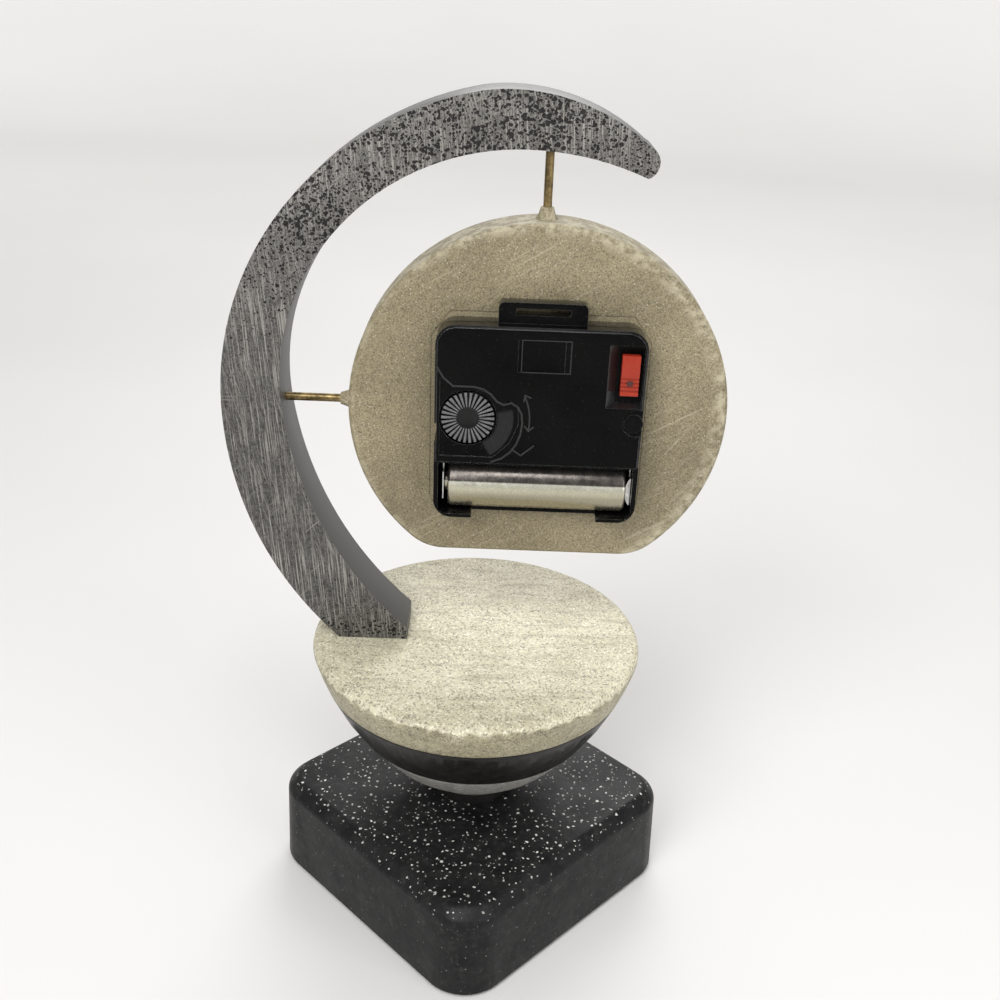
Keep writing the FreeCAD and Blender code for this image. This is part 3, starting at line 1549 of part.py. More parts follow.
def make_intermediate_wheel():
    half_lead = (S.pinion_thickness - S.wheel_thickness) / 2
    phase = meshed_phase(ZERO, S.intermediate_angle, SECOND_TEETH, INTERMEDIATE_PINION_TEETH)
    disc = toothed(INTERMEDIATE_TEETH, S.rotor_module, ZERO, S.intermediate_wheel_level, S.wheel_thickness)
    pinion_level = S.second_wheel_level - half_lead
    pinion = toothed(INTERMEDIATE_PINION_TEETH, S.second_module, phase, pinion_level, S.pinion_thickness)
    hub = shaft(S.arbor_hub_radius, at_level(pinion_level), at_level(S.intermediate_wheel_level))
    arbor = shaft(S.arbor_radius, at_level(S.short_arbor_level), at_level(S.arbor_rear_level))
    wheel("intermediate_wheel", joined(disc, pinion, hub, arbor), intermediate_x, intermediate_z)


def make_rotor():
    phase = meshed_phase(ZERO, S.rotor_angle, INTERMEDIATE_TEETH, ROTOR_TEETH)
    pinion_level = S.intermediate_wheel_level - S.rotor_pinion_lead
    pinion = toothed(ROTOR_TEETH, S.rotor_module, phase, pinion_level, S.pinion_thickness)
    arbor = shaft(S.arbor_radius, at_level(S.short_arbor_level), at_level(S.arbor_rear_level))
    wheel("rotor", joined(pinion, arbor), rotor_x, rotor_z)
    front = at_level(S.magnet_level)
    rear = front + S.magnet_length
    bore = shaft(S.arbor_radius + S.hand_fit, front - S.cut_overrun, rear + S.cut_overrun)
    wheel("rotor_magnet", shaft(S.magnet_radius, front, rear).cut(bore), rotor_x, rotor_z)


# Ribbed knob that sets the hands

def rib_points():
    """Corners of the ribbed ring: broad at the ribs, narrow at the hub between them."""
    pitch = 2 * math.pi / KNOB_RIBS
    half = KNOB_RIB_SHARE / 2
    inner = number(S.knob_hub_radius)
    outer = number(S.knob_radius)
    points = []
    for rib in range(KNOB_RIBS):
        for radius, share in ((inner, -half), (outer, -half), (outer, half), (inner, half)):
            angle = (rib + share) * pitch
            points.append(FreeCAD.Vector(radius * math.cos(angle), 0, radius * math.sin(angle)))
    return points


def make_knob():
    phase = meshed_phase(minute_wheel_phase, S.knob_angle, MINUTE_TEETH, KNOB_TEETH)
    pinion = toothed(KNOB_TEETH, S.motion_module, phase, S.motion_level, S.pinion_thickness)
    disc_front_face = case_rear - S.knob_recess_depth + S.knob_floor_gap
    disc_rear_face = disc_front_face + S.knob_disc_thickness
    rib_rear = disc_rear_face + S.knob_rib_height
    stem = shaft(S.knob_shaft_radius, case_floor - S.knob_pivot_depth, disc_rear_face)
    wheel("setting_pinion", joined(pinion, stem), knob_x, knob_z)
    disc = shaft(S.knob_radius, disc_front_face, disc_rear_face)
    points = rib_points()
    ribs = Part.Face(Part.makePolygon(points + points[:1]))
    ribs.translate(BACKWARD * number(disc_rear_face))
    ribs = ribs.extrude(BACKWARD * number(S.knob_rib_height))
    hollow = shaft(S.knob_hub_radius, rib_rear - S.knob_hub_drop, rib_rear + S.cut_overrun)
    wide = S.knob_shaft_radius + S.hand_fit
    bore = shaft(wide, disc_front_face - S.cut_overrun, disc_rear_face + S.hand_fit)
    wheel("time_set_knob", joined(disc, ribs).cut(hollow).cut(bore), knob_x, knob_z)


# Hands

def make_hand(label, front, bore, length, width, turn, tail):
    """A tapering hand on its round boss, pointing up and then turned clockwise."""
    body = clock_body(label)
    body.Placement.Rotation = FreeCAD.Rotation(BACKWARD, number(turn))
    body.setExpression("Placement.Rotation.Angle", "%s * 1 deg" % words(turn))
    boss = bore + S.hand_rim
    rear = front + S.hand_thickness
    tip = S.hand_tip_width / 2
    studs(body, "boss", [(ZERO, ZERO, boss)], front, rear)
    blade = [(-width / 2, -tail), (width / 2, -tail), (tip, length), (-tip, length)]
    pad_back(body, "blade", blade, front, rear)
    drill_back(body, "bore", [(ZERO, ZERO, bore + S.hand_fit)], front - S.cut_overrun, rear + S.cut_overrun)


def make_hands():
    hour_front = hour_tube_front + S.hand_inset
    minute_front = minute_arbor_front + S.hand_inset
    second_front = second_arbor_front + S.hand_inset
    hour_bore = S.hour_tube_radius
    minute_bore = S.minute_arbor_radius
    second_bore = S.second_arbor_radius
    hour_form = (S.hour_hand_length, S.hour_hand_width, S.hour_hand_angle, ZERO)
    make_hand("hour_hand", hour_front, hour_bore, *hour_form)
    make_hand(
        "minute_hand",
        minute_front,
        minute_bore,
        S.minute_hand_length,
        S.minute_hand_width,
        S.minute_hand_angle,
        ZERO,
    )
    make_hand(
        "second_hand",
        second_front,
        second_bore,
        S.second_hand_length,
        S.second_hand_width,
        S.second_hand_angle,
        S.second_hand_tail,
    )


make_base()
make_felt()
make_clamp()
make_bowl()
make_arm()
make_rods()
make_disc()
make_markers()
make_fixings()
make_case()
make_plate()
make_cover()
make_slider()
make_battery()
make_contacts()
make_electronics()
make_coil()
make_hour_wheel()
make_minute_wheel()
make_minute_arbor()
make_centre_wheel()
make_third_wheel()
make_second_wheel()
make_intermediate_wheel()
make_rotor()
make_knob()
make_hands()
doc.recompute()

for item in doc.Objects:
    if "Invalid" in item.State or "Error" in item.State:
        raise RuntimeError("%s is %s" % (item.Name, item.State))

os.makedirs("parts", exist_ok=True)
for piece in pieces:
    if piece.Shape.isNull() or not piece.Shape.isValid():
        raise RuntimeError("%s has no valid shape" % piece.Label)
    piece.Shape.exportStep("parts/%s.step" % piece.Label)
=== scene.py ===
import json
import math

import bpy
import bmesh
from mathutils import Matrix, Vector


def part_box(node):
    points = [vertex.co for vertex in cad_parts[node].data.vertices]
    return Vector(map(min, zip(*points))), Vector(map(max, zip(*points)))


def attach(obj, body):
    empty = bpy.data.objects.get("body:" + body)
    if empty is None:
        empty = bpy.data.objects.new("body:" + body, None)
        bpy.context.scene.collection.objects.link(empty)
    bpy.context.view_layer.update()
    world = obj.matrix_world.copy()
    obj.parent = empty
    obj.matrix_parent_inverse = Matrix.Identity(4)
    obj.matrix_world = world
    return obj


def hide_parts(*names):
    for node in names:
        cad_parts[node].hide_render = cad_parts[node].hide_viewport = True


bl_info = {
    "name": "Crescent Desk Clock",
    "version": (1, 0, 0),
    "blender": (4, 5, 0),
    "location": "View3D > Sidebar > Clock",
    "description": "Finishes and small details of a desk clock hung in a crescent arm",
    "category": "Object",
}

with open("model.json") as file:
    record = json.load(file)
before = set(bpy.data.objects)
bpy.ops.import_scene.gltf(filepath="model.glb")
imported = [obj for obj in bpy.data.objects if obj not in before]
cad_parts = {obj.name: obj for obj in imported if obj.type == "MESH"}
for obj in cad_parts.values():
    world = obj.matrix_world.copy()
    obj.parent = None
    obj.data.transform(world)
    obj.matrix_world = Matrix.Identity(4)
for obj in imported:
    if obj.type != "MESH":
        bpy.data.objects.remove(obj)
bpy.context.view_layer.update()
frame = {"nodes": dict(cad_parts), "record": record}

MM = 0.001
FULL_TURN = 2 * math.pi
SAME_PLACE = 0.002 * MM
FLAT_DEGREES = 0.5


def middle_of(node):
    """The three numbers of the middle of a CAD node's box."""
    return [(low + high) / 2 for low, high in zip(*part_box(node))]


DIAL_X = middle_of("clock_disc")[0]
SHAFT_X, _, SHAFT_Z = middle_of("hour_wheel")
KNOB_X, _, KNOB_Z = middle_of("time_set_knob")
CELL_X, CELL_Y, CELL_Z = middle_of("battery")
DIAL_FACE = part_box("clock_disc")[1].y
KNOB_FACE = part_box("time_set_knob")[1].y
COVER_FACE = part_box("rear_cover")[1].y


# Node building

def opaque(level):
    """A colour or a grey level as red, green, blue and alpha."""
    return (*level, 1.0) if isinstance(level, tuple) else (level, level, level, 1.0)


class Recipe:
    """A material and short words for wiring its nodes. Lengths are in metres."""

    def __init__(self, name, colour, roughness=0.5, metallic=0.0):
        self.material = bpy.data.materials.new(name)
        self.material.use_nodes = True
        self.tree = self.material.node_tree
        self.skin = self.tree.nodes["Principled BSDF"]
        self.surface("Base Color", opaque(colour))
        self.surface("Roughness", roughness)
        self.surface("Metallic", metallic)
        coordinates = self.node("ShaderNodeTexCoord")
        self.place = coordinates.outputs["Object"]
        self.facing = coordinates.outputs["Normal"]

    def node(self, kind, **values):
        """A new node with its options set."""
        made = self.tree.nodes.new(kind)
        for key, value in values.items():
            setattr(made, key, value)
        return made

    def join(self, source, target):
        """Link a socket to an input, or write a value into it."""
        if isinstance(source, bpy.types.NodeSocket):
            self.tree.links.new(source, target)
        else:
            target.default_value = source

    def surface(self, name, source):
        """Drive an input of the shader."""
        self.join(source, self.skin.inputs[name])

    def colour(self, source):
        self.surface("Base Color", source)

    def rough(self, source):
        self.surface("Roughness", source)

    def turned(self, stretch, turn):
        """Object coordinates stretched and turned."""
        made = self.node("ShaderNodeMapping")
        self.join(self.place, made.inputs["Vector"])
        made.inputs["Rotation"].default_value = [math.radians(angle) for angle in turn]
        made.inputs["Scale"].default_value = stretch
        return made.outputs["Vector"]

    def ragged(self, reach):
        """Object coordinates pushed about by a fine noise, for uneven outlines."""
        wobble = self.node("ShaderNodeTexNoise")
        self.join(self.place, wobble.inputs["Vector"])
        wobble.inputs["Scale"].default_value = 900.0
        made = self.node("ShaderNodeVectorMath", operation="MULTIPLY_ADD")
        self.join(wobble.outputs["Color"], made.inputs[0])
        made.inputs[1].default_value = (reach, reach, reach)
        self.join(self.place, made.inputs[2])
        return made.outputs[0]

    def noise(self, scale, detail=4.0, rough=0.55, where=None, warp=0.0):
        """Soft clouds from 0 to 1, the finer the larger the scale."""
        made = self.node("ShaderNodeTexNoise")
        self.join(where or self.place, made.inputs["Vector"])
        made.inputs["Scale"].default_value = scale
        made.inputs["Detail"].default_value = detail
        made.inputs["Roughness"].default_value = rough
        made.inputs["Distortion"].default_value = warp
        return made.outputs["Fac"]

    def streaks(self, scale, angle, length, low, high):
        """Long thin marks that lie at an angle on the broad faces."""
        made = self.node("ShaderNodeMapping", vector_type="TEXTURE")
        self.join(self.place, made.inputs["Vector"])
        made.inputs["Rotation"].default_value = (0.0, math.radians(angle), 0.0)
        made.inputs["Scale"].default_value = (length, 1.0, 1.0)
        return self.rise(self.noise(scale, 3.0, 0.6, made.outputs["Vector"]), low, high)

    def cells(self, scale, where=None, out="Distance"):
        """The distance to the middle of a grain, or a random colour for each grain."""
        made = self.node("ShaderNodeTexVoronoi")
        self.join(where or self.place, made.inputs["Vector"])
        made.inputs["Scale"].default_value = scale
        return made.outputs[out]

    def ramp(self, source, stops, smooth=False):
        """Colours or grey levels along a 0 to 1 input."""
        made = self.node("ShaderNodeValToRGB")
        band = made.color_ramp
        band.interpolation = "EASE" if smooth else "LINEAR"
        while len(band.elements) < len(stops):
            band.elements.new(0.5)
        for element, (at, level) in zip(band.elements, stops):
            element.position = at
            element.color = opaque(level)
        self.join(source, made.inputs["Fac"])
        return made.outputs["Color"]

    def rise(self, source, low, high, top=1.0, bottom=0.0):
        """A grey level that goes from bottom at low to top at high."""
        return self.ramp(source, [(low, bottom), (high, top)])

    def fall(self, source, low, high):
        """A grey level that goes from 1 at low to 0 at high."""
        return self.ramp(source, [(low, 1.0), (high, 0.0)])

    def maths(self, kind, *values):
        """A sum of sockets or numbers."""
        made = self.node("ShaderNodeMath", operation=kind)
        for value, socket in zip(values, made.inputs):
            self.join(value, socket)
        return made.outputs[0]

    def times(self, first, second):
        return self.maths("MULTIPLY", first, second)

    def minus(self, first, second):
        return self.maths("SUBTRACT", first, second)

    def most(self, first, second):
        return self.maths("MAXIMUM", first, second)

    def line(self, source, slope, start):
        """A source times a slope plus a start."""
        return self.maths("MULTIPLY_ADD", source, slope, start)

    def away(self, x, z):
        """Distances from a line along Y: across, up and straight."""
        spot = self.axes()
        across = self.minus(spot[0], x)
        up = self.minus(spot[2], z)
        squares = self.maths("ADD", self.times(across, across), self.times(up, up))
        return across, up, self.maths("SQRT", squares)

    def bearing(self, first, second):
        """The angle between two distances as a share of a full turn, from 0 to 1."""
        return self.line(self.maths("ARCTAN2", first, second), 1 / FULL_TURN, 0.5)

    def blend(self, amount, under, over, kind="MIX"):
        """A colour laid over another by an amount."""
        made = self.node("ShaderNodeMix", data_type="RGBA", blend_type=kind)
        self.join(amount, made.inputs["Factor"])
        for source, socket in ((under, made.inputs[6]), (over, made.inputs[7])):
            linked = isinstance(source, bpy.types.NodeSocket)
            self.join(source if linked else opaque(source), socket)
        return made.outputs[2]

    def axes(self, source=None):
        """The three parts of a place, a direction or a colour."""
        made = self.node("ShaderNodeSeparateXYZ")
        self.join(source or self.place, made.inputs[0])
        return made.outputs

    def broadside(self, low, high):
        """1 on the faces that look along Y, 0 on the walls between them."""
        return self.rise(self.maths("ABSOLUTE", self.axes(self.facing)[1]), low, high)

    def relief(self, height, strength, depth, under=None):
        """Bumps from a height, on top of other bumps."""
        made = self.node("ShaderNodeBump")
        made.inputs["Strength"].default_value = strength
        made.inputs["Distance"].default_value = depth
        self.join(height, made.inputs["Height"])
        if under is not None:
            self.join(under, made.inputs["Normal"])
        self.surface("Normal", made.outputs["Normal"])
        return made.outputs["Normal"]

    def spark_grain(self):
        """The very fine grain that a mould's walls leave on plastic."""
        self.relief(self.noise(1800.0, 3.0, 0.6), 0.08, 0.0001)


# Finishes of the stand

def black_terrazzo():
    """Black cast base with white flecks, thicker on top; the flecks on the side faces are painted
    dim grey as shade.
    """
    m = Recipe("black_terrazzo", (0.012, 0.012, 0.013))
    m.surface("Specular IOR Level", 0.16)
    top = m.rise(m.axes(m.facing)[2], 0.3, 0.9)

    chip_scale = 700.0
    outline = m.ragged(0.0012)
    chip_tone = m.axes(m.cells(chip_scale, outline, "Color"))
    chip_size = m.line(chip_tone[0], 0.26, m.line(top, 0.145, -0.07))
    fleck = m.rise(m.minus(chip_size, m.cells(chip_scale, outline)), 0.0, 0.05)

    dust_scale = 2400.0
    dust_size = m.line(m.axes(m.cells(dust_scale, out="Color"))[1], 0.5, -0.32)
    speck = m.rise(m.minus(dust_size, m.cells(dust_scale)), 0.0, 0.05, 0.75)

    black = [(0.3, (0.0055, 0.0055, 0.006)), (0.75, 0.018)]
    scuff = m.rise(m.noise(420.0, 6.0, 0.75), 0.52, 0.7, 0.6)
    ground = m.blend(scuff, m.ramp(m.noise(140.0, 5.0, 0.6), black), (0.045, 0.045, 0.043))
    white = [(0.0, (0.24, 0.24, 0.225)), (0.6, (0.52, 0.52, 0.49)), (1.0, (0.74, 0.74, 0.7))]
    # Flecks on faces that do not look up are painted a dim grey: painted shade on the sides.
    chips = m.blend(m.line(top, 0.75, 0.25), (0.07, 0.07, 0.067), m.ramp(chip_tone[1], white))
    m.colour(m.blend(fleck, m.blend(speck, ground, (0.2, 0.2, 0.19)), chips))

    m.rough(m.rise(m.noise(60.0, 4.0, 0.6), 0.3, 0.75, 0.52, 0.34))
    raised = m.relief(fleck, 0.12, 0.0001)
    m.relief(m.noise(220.0, 5.0, 0.6), 0.3, 0.0005, raised)
    return m.material


def speckled_stone(name, ground, light, dark, roughness, grain,
                   coat=0.0, depth=0.25, shine=0.5, wall=1.0, vein=0.0):
    """Cast stone with light and dark grains, soft veins and painted shade on its downward-facing
    turned wall.
    """
    m = Recipe(name, ground[0])
    cloud = m.ramp(m.noise(55.0, 6.0, 0.65), [(0.32, ground[0]), (0.68, ground[1])])
    pick = m.axes(m.cells(grain, out="Color"))
    fine = m.rise(m.noise(grain * 2.2, 2.0, 0.5), 0.4, 0.62)
    bright = m.times(m.rise(pick[0], 0.72, 0.8, 0.85), fine)
    shade = m.times(m.rise(pick[1], 0.74, 0.82, 0.8), m.minus(1.15, fine))
    tone = m.blend(shade, m.blend(bright, cloud, light), dark)
    if vein:
        lying = m.turned((60.0, 330.0, 330.0), (0, 0, -6))
        long = m.rise(m.noise(1.0, 4.0, 0.6, lying, 0.4), 0.5, 0.66)
        tone = m.blend(m.times(long, vein), tone, (0.62, 0.6, 0.58), "MULTIPLY")
    # Faces that look downward are multiplied by the wall colour: painted shade on the wall under
    # the lip.
    m.colour(m.blend(m.fall(m.axes(m.facing)[2], 0.02, 0.4), tone, wall, "MULTIPLY"))

    m.rough(m.rise(m.noise(180.0, 4.0, 0.6), 0.3, 0.7, roughness + 0.1, roughness - 0.08))
    m.surface("Specular IOR Level", shine)
    m.surface("Coat Weight", coat)
    m.surface("Coat Roughness", 0.12)
    grains = m.relief(m.noise(grain * 1.5, 3.0, 0.6), depth, 0.00012)
    m.relief(m.noise(120.0, 5.0, 0.55), depth, 0.00012, grains)
    return m.material


def black_felt():
    """Felt with short loose fibres."""
    m = Recipe("black_felt", (0.02, 0.02, 0.021), 0.95)
    fibre = m.noise(3000.0, 3.0, 0.7, warp=1.5)
    m.colour(m.ramp(fibre, [(0.3, (0.01, 0.01, 0.011)), (0.75, (0.05, 0.05, 0.052))]))
    m.surface("Sheen Weight", 0.3)
    m.relief(fibre, 0.6, 0.0003)
    return m.material


def ground_metal(name, worn_highlight_edge):
    """Dark cast metal, ground and pitted on the broad faces and satin on the narrow walls."""
    m = Recipe(name, (0.1, 0.1, 0.103), metallic=0.3)
    m.surface("Specular IOR Level", 0.35)
    broad = m.broadside(0.7, 0.9)
    height = m.times(m.axes()[2], 4.0)  # 1 at 250 mm
    crown = m.rise(height, 0.66, 0.86)
    foot = m.fall(height, 0.37, 0.44)
    pit, lip = pits_and_lips(m, crown, foot)
    pit = m.times(pit, broad)
    marks = grinding_marks(m)
    cloud = m.noise(32.0, 5.0, 0.62)
    if worn_highlight_edge:
        # The lighter chipped edge colour is partly worn metal and partly a painted rim highlight.
        wear_and_highlight = m.rise(m.noise(520.0, 5.0, 0.8), 0.4, 0.52, 1.0, 0.1)
        m.colour(m.blend(wear_and_highlight, 0.04, (0.6, 0.59, 0.56)))
    else:
        grit = m.rise(m.noise(1700.0, 4.0, 0.8), 0.42, 0.62)
        dark = [(0.38, (0.008, 0.0078, 0.0074)), (0.62, (0.088, 0.085, 0.078))]
        face = m.ramp(m.noise(900.0, 5.0, 0.8), dark)
        face = m.blend(m.times(grit, m.line(crown, 0.5, 0.3)), face, (0.23, 0.222, 0.204))
        face = m.blend(m.times(marks, 0.85), face, (0.36, 0.348, 0.322))
        face = m.blend(m.times(lip, 0.35), face, (0.34, 0.33, 0.305))
        wall = m.ramp(cloud, [(0.3, (0.056, 0.055, 0.053)), (0.7, (0.092, 0.09, 0.086))])
        tone = m.blend(broad, wall, face)
        m.colour(m.blend(m.times(pit, 0.94), tone, (0.008, 0.007, 0.007)))

    m.rough(m.line(pit, 0.3, m.rise(cloud, 0.3, 0.7, 0.5, 0.36)))
    sunken = m.relief(m.times(pit, -1.0), 0.8, 0.0006)
    scored = m.relief(m.times(marks, broad), 0.3, 0.00015, sunken)
    m.relief(m.noise(1600.0, 3.0, 0.6), 0.12, 0.0001, scored)
    return m.material


def pits_and_lips(m, crown, foot):
    """Casting pits of two sizes, crowded at the arm's crown and foot, and the lips round them."""
    patch = m.rise(m.noise(60.0, 4.0, 0.65), 0.4, 0.6)
    density = m.line(m.most(crown, m.times(foot, 0.8)), m.line(patch, 0.3, 0.52), 0.3)
    outline = m.ragged(0.0011)
    pits, lips = [], []
    for scale, spread in ((700.0, 0.5), (1350.0, 0.7)):
        pick = m.axes(m.cells(scale, outline, "Color"))[0]
        size = m.line(pick, spread, m.line(density, 0.62, -0.6))
        depth = m.minus(size, m.cells(scale, outline))
        pits.append(m.rise(depth, 0.0, 0.07))
        lips.append(m.ramp(m.maths("ADD", depth, 0.12), [(0.0, 0.0), (0.08, 1.0), (0.14, 0.0)]))
    return m.most(*pits), m.most(*lips)


def grinding_marks(m):
    """Upright grinding marks that change their slant in patches, with stray ones across."""
    upright = m.streaks(3000.0, 94.0, 42.0, 0.52, 0.6)
    leaning = m.streaks(2400.0, 108.0, 36.0, 0.56, 0.65)
    level = m.streaks(1700.0, 3.0, 46.0, 0.66, 0.71)
    slanted = m.streaks(1700.0, 44.0, 34.0, 0.63, 0.7)
    area = m.rise(m.noise(48.0, 3.0, 0.6), 0.42, 0.58)
    upright = m.times(upright, m.line(area, 0.55, 0.35))
    leaning = m.times(leaning, m.line(area, -0.55, 0.7))
    return m.most(m.most(upright, leaning), m.times(m.most(level, slanted), 0.7))


def plain_metal(name, colour, roughness, dull=0.6, scale=500.0):
    """Metal with a clouded tarnish and fine drawn marks."""
    m = Recipe(name, colour, metallic=1.0)
    cloud = m.noise(scale, 5.0, 0.65)
    tarnished = tuple(part * (1.0 - dull) for part in colour)
    m.colour(m.ramp(cloud, [(0.36, tarnished), (0.62, colour)]))
    m.rough(m.rise(cloud, 0.3, 0.7, roughness, min(1.0, roughness + 0.2)))
    m.relief(m.noise(scale * 5.0, 3.0, 0.6), 0.12, 0.0001)
    return m.material


# Finishes of the dial and the movement

def cast_resin():
    """Khaki cast body with fine grains, small pits, brushed marks and a paler worn rim."""
    m = Recipe("cast_resin", (0.3, 0.27, 0.185))
    cloud = m.noise(36.0, 6.0, 0.6)
    khaki = [
        (0.32, (0.18, 0.152, 0.09)),
        (0.52, (0.232, 0.196, 0.118)),
        (0.72, (0.285, 0.243, 0.152)),
    ]
    sand = [(0.34, (0.45, 0.43, 0.4)), (0.5, 1.0), (0.68, (1.42, 1.41, 1.38))]
    grain = m.ramp(m.noise(2400.0, 3.0, 0.6), sand)
    tone = m.blend(0.85, m.ramp(cloud, khaki), grain, "MULTIPLY")

    steep = m.times(m.streaks(900.0, 52.0, 30.0, 0.6, 0.74), 0.8)
    stroke = m.most(m.streaks(1100.0, 30.0, 34.0, 0.58, 0.72), steep)
    stroke = m.times(stroke, m.rise(m.noise(28.0, 3.0, 0.6), 0.4, 0.65, 0.85, 0.15))
    tone = m.blend(m.times(stroke, 0.5), tone, (0.5, 0.465, 0.36))

    speck_scale = 1500.0
    pick = m.axes(m.cells(speck_scale, out="Color"))
    distance = m.cells(speck_scale)
    hole = m.times(m.rise(pick[0], 0.9, 0.93, 0.85), m.fall(distance, 0.2, 0.42))
    pale = m.times(m.rise(pick[1], 0.94, 0.96, 0.6), m.fall(distance, 0.15, 0.32))
    tone = m.blend(hole, tone, (0.09, 0.075, 0.05))
    tone = m.blend(pale, tone, (0.6, 0.57, 0.46))

    radius = m.times(m.away(DIAL_X, SHAFT_Z)[2], 10.0)  # 1 at 100 mm
    chipped = m.rise(m.noise(330.0, 5.0, 0.7), 0.42, 0.58)
    rim = m.times(m.rise(radius, 0.487, 0.515), chipped)
    m.colour(m.blend(m.times(rim, 0.6), tone, (0.55, 0.5, 0.36)))

    m.rough(m.rise(cloud, 0.3, 0.7, 0.68, 0.5))
    holes = m.relief(hole, 0.5, -0.0003)
    lumps = m.relief(m.times(rim, m.noise(500.0, 4.0, 0.7)), 0.5, 0.0008, holes)
    brushed = m.relief(stroke, 0.22, 0.0002, lumps)
    m.relief(m.noise(1100.0, 4.0, 0.7), 0.3, 0.0003, brushed)
    return m.material


def moulded(name, colour, roughness, coat=0.0, dust=0.04, shine=0.5):
    """Moulded plastic with a fine spark-eroded grain, flow clouds and a trace of dust."""
    m = Recipe(name, colour)
    lighter = tuple(min(1.0, part * 1.25 + 0.006) for part in colour)
    ground = m.ramp(m.noise(70.0, 4.0, 0.55), [(0.3, colour), (0.75, lighter)])
    specks = m.rise(m.noise(2600.0, 2.0, 0.5), 0.66, 0.74, dust * 6)
    m.colour(m.blend(specks, ground, (0.5, 0.48, 0.45)))
    smooth, dull = max(0.05, roughness - 0.06), roughness + 0.1
    m.rough(m.rise(m.noise(160.0, 4.0, 0.6), 0.3, 0.72, dull, smooth))
    m.surface("Specular IOR Level", shine)
    m.surface("Coat Weight", coat)
    m.surface("Coat Roughness", 0.15)
    m.spark_grain()
    return m.material


def case_black(name, shine, wear_and_highlight, haze):
    """Near black moulded case, greyer in the fan beside the knob and glossy on its walls; on edge
    faces a lighter grey is painted in as a highlight line.
    """
    m = Recipe(name, (0.006, 0.006, 0.0065))
    across, up, radius = m.away(KNOB_X, KNOB_Z)
    radius = m.times(radius, 30.0)  # 1 at 33.3 mm
    ring = m.times(m.rise(radius, 0.24, 0.25), m.fall(radius, 0.363, 0.372))
    wedge_ends = [(0.33, 0.0), (0.34, 1.0), (0.53, 1.0), (0.54, 0.0)]
    wedge = m.ramp(m.bearing(up, m.times(across, -1.0)), wedge_ends)
    fan = m.times(m.times(ring, wedge), m.broadside(0.8, 0.95))

    # The lighter grey from the third argument is a painted highlight line along the edge faces.
    black = m.rise(m.noise(70.0, 4.0, 0.55), 0.3, 0.75, 0.0034 + wear_and_highlight * 2, 0.0012 + wear_and_highlight)
    dusty = m.rise(m.noise(2600.0, 2.0, 0.5), 0.68, 0.76, 0.12)
    m.colour(m.blend(dusty, m.blend(fan, black, (0.019, 0.019, 0.0193)), (0.4, 0.39, 0.37)))

    smear = m.rise(m.noise(160.0, 4.0, 0.6), 0.3, 0.72, haze + 0.16, haze)
    outward = m.broadside(0.4, 0.8)
    m.rough(m.line(fan, 0.2, m.times(smear, m.line(outward, 0.6, 0.4))))
    m.surface("Specular IOR Level", m.line(outward, shine - 1.0, 1.0))
    m.spark_grain()
    return m.material


def ribbed_black():
    """Black plastic whose raised ribs are painted lighter than the floor between them, as a
    highlight on their crests.
    """
    m = Recipe("knob_black", (0.012, 0.012, 0.013))
    m.surface("Specular IOR Level", 0.3)
    rib_height = 0.5 * MM
    raised = m.minus(m.axes()[1], KNOB_FACE - rib_height)
    crest_highlight = m.rise(m.line(raised, 1.0 / MM, 0.2), 0.3, 0.6)
    haze = m.rise(m.noise(500.0, 4.0, 0.65), 0.35, 0.7, 1.0, 0.5)
    radius = m.times(m.away(KNOB_X, KNOB_Z)[2], 100.0)  # 1 at 10 mm
    crest_highlight = m.times(crest_highlight, m.rise(radius, 0.29, 0.33))
    # The rib crests' lighter grey is a painted highlight.
    m.colour(m.blend(m.times(crest_highlight, haze), 0.002, (0.17, 0.17, 0.172)))
    m.rough(m.rise(m.noise(220.0, 4.0, 0.6), 0.3, 0.72, 0.38, 0.24))
    m.spark_grain()
    return m.material


def cell_wrap():
    """Printed metal sleeve: a grey band above and a gold band below, with painted highlights, a
    painted dark reflection and raised rims at the ends.
    """
    m = Recipe("cell_wrap", (0.5, 0.45, 0.36), metallic=0.85)
    spot = m.axes()
    outward = m.minus(spot[1], CELL_Y)
    upward = m.minus(spot[2], CELL_Z)
    # Grey above and gold below are the sleeve's print; the bright streaks near 0.55 and 0.7 are
    # painted highlights, and the dark band from 0.56 to 0.63 is a painted reflection of the
    # cover's dark underside.
    print_and_painted_light = m.ramp(m.bearing(upward, outward), [
        (0.0, 0.2),
        (0.3, (0.28, 0.25, 0.18)),
        (0.47, (0.36, 0.33, 0.24)),
        (0.52, (0.55, 0.53, 0.4)),
        (0.545, (0.86, 0.85, 0.72)),
        (0.556, (0.86, 0.85, 0.72)),
        (0.56, (0.06, 0.05, 0.048)),
        (0.63, (0.05, 0.043, 0.041)),
        (0.67, (0.1, 0.095, 0.095)),
        (0.7, 0.6),
        (0.78, 0.4),
    ])
    haze = m.rise(m.noise(400.0, 5.0, 0.7), 0.35, 0.8, 0.35)
    m.colour(m.blend(haze, print_and_painted_light, (0.3, 0.28, 0.24)))
    m.rough(m.rise(m.noise(700.0, 4.0, 0.6), 0.3, 0.7, 0.34, 0.2))
    rim_start, rim_end = 23.8 * MM, 24.2 * MM
    ends = m.rise(m.maths("ABSOLUTE", m.minus(spot[0], CELL_X)), rim_start, rim_end)
    m.relief(ends, 0.3, 0.0002, m.relief(m.noise(300.0, 3.0, 0.5), 0.04, 0.0002))
    return m.material


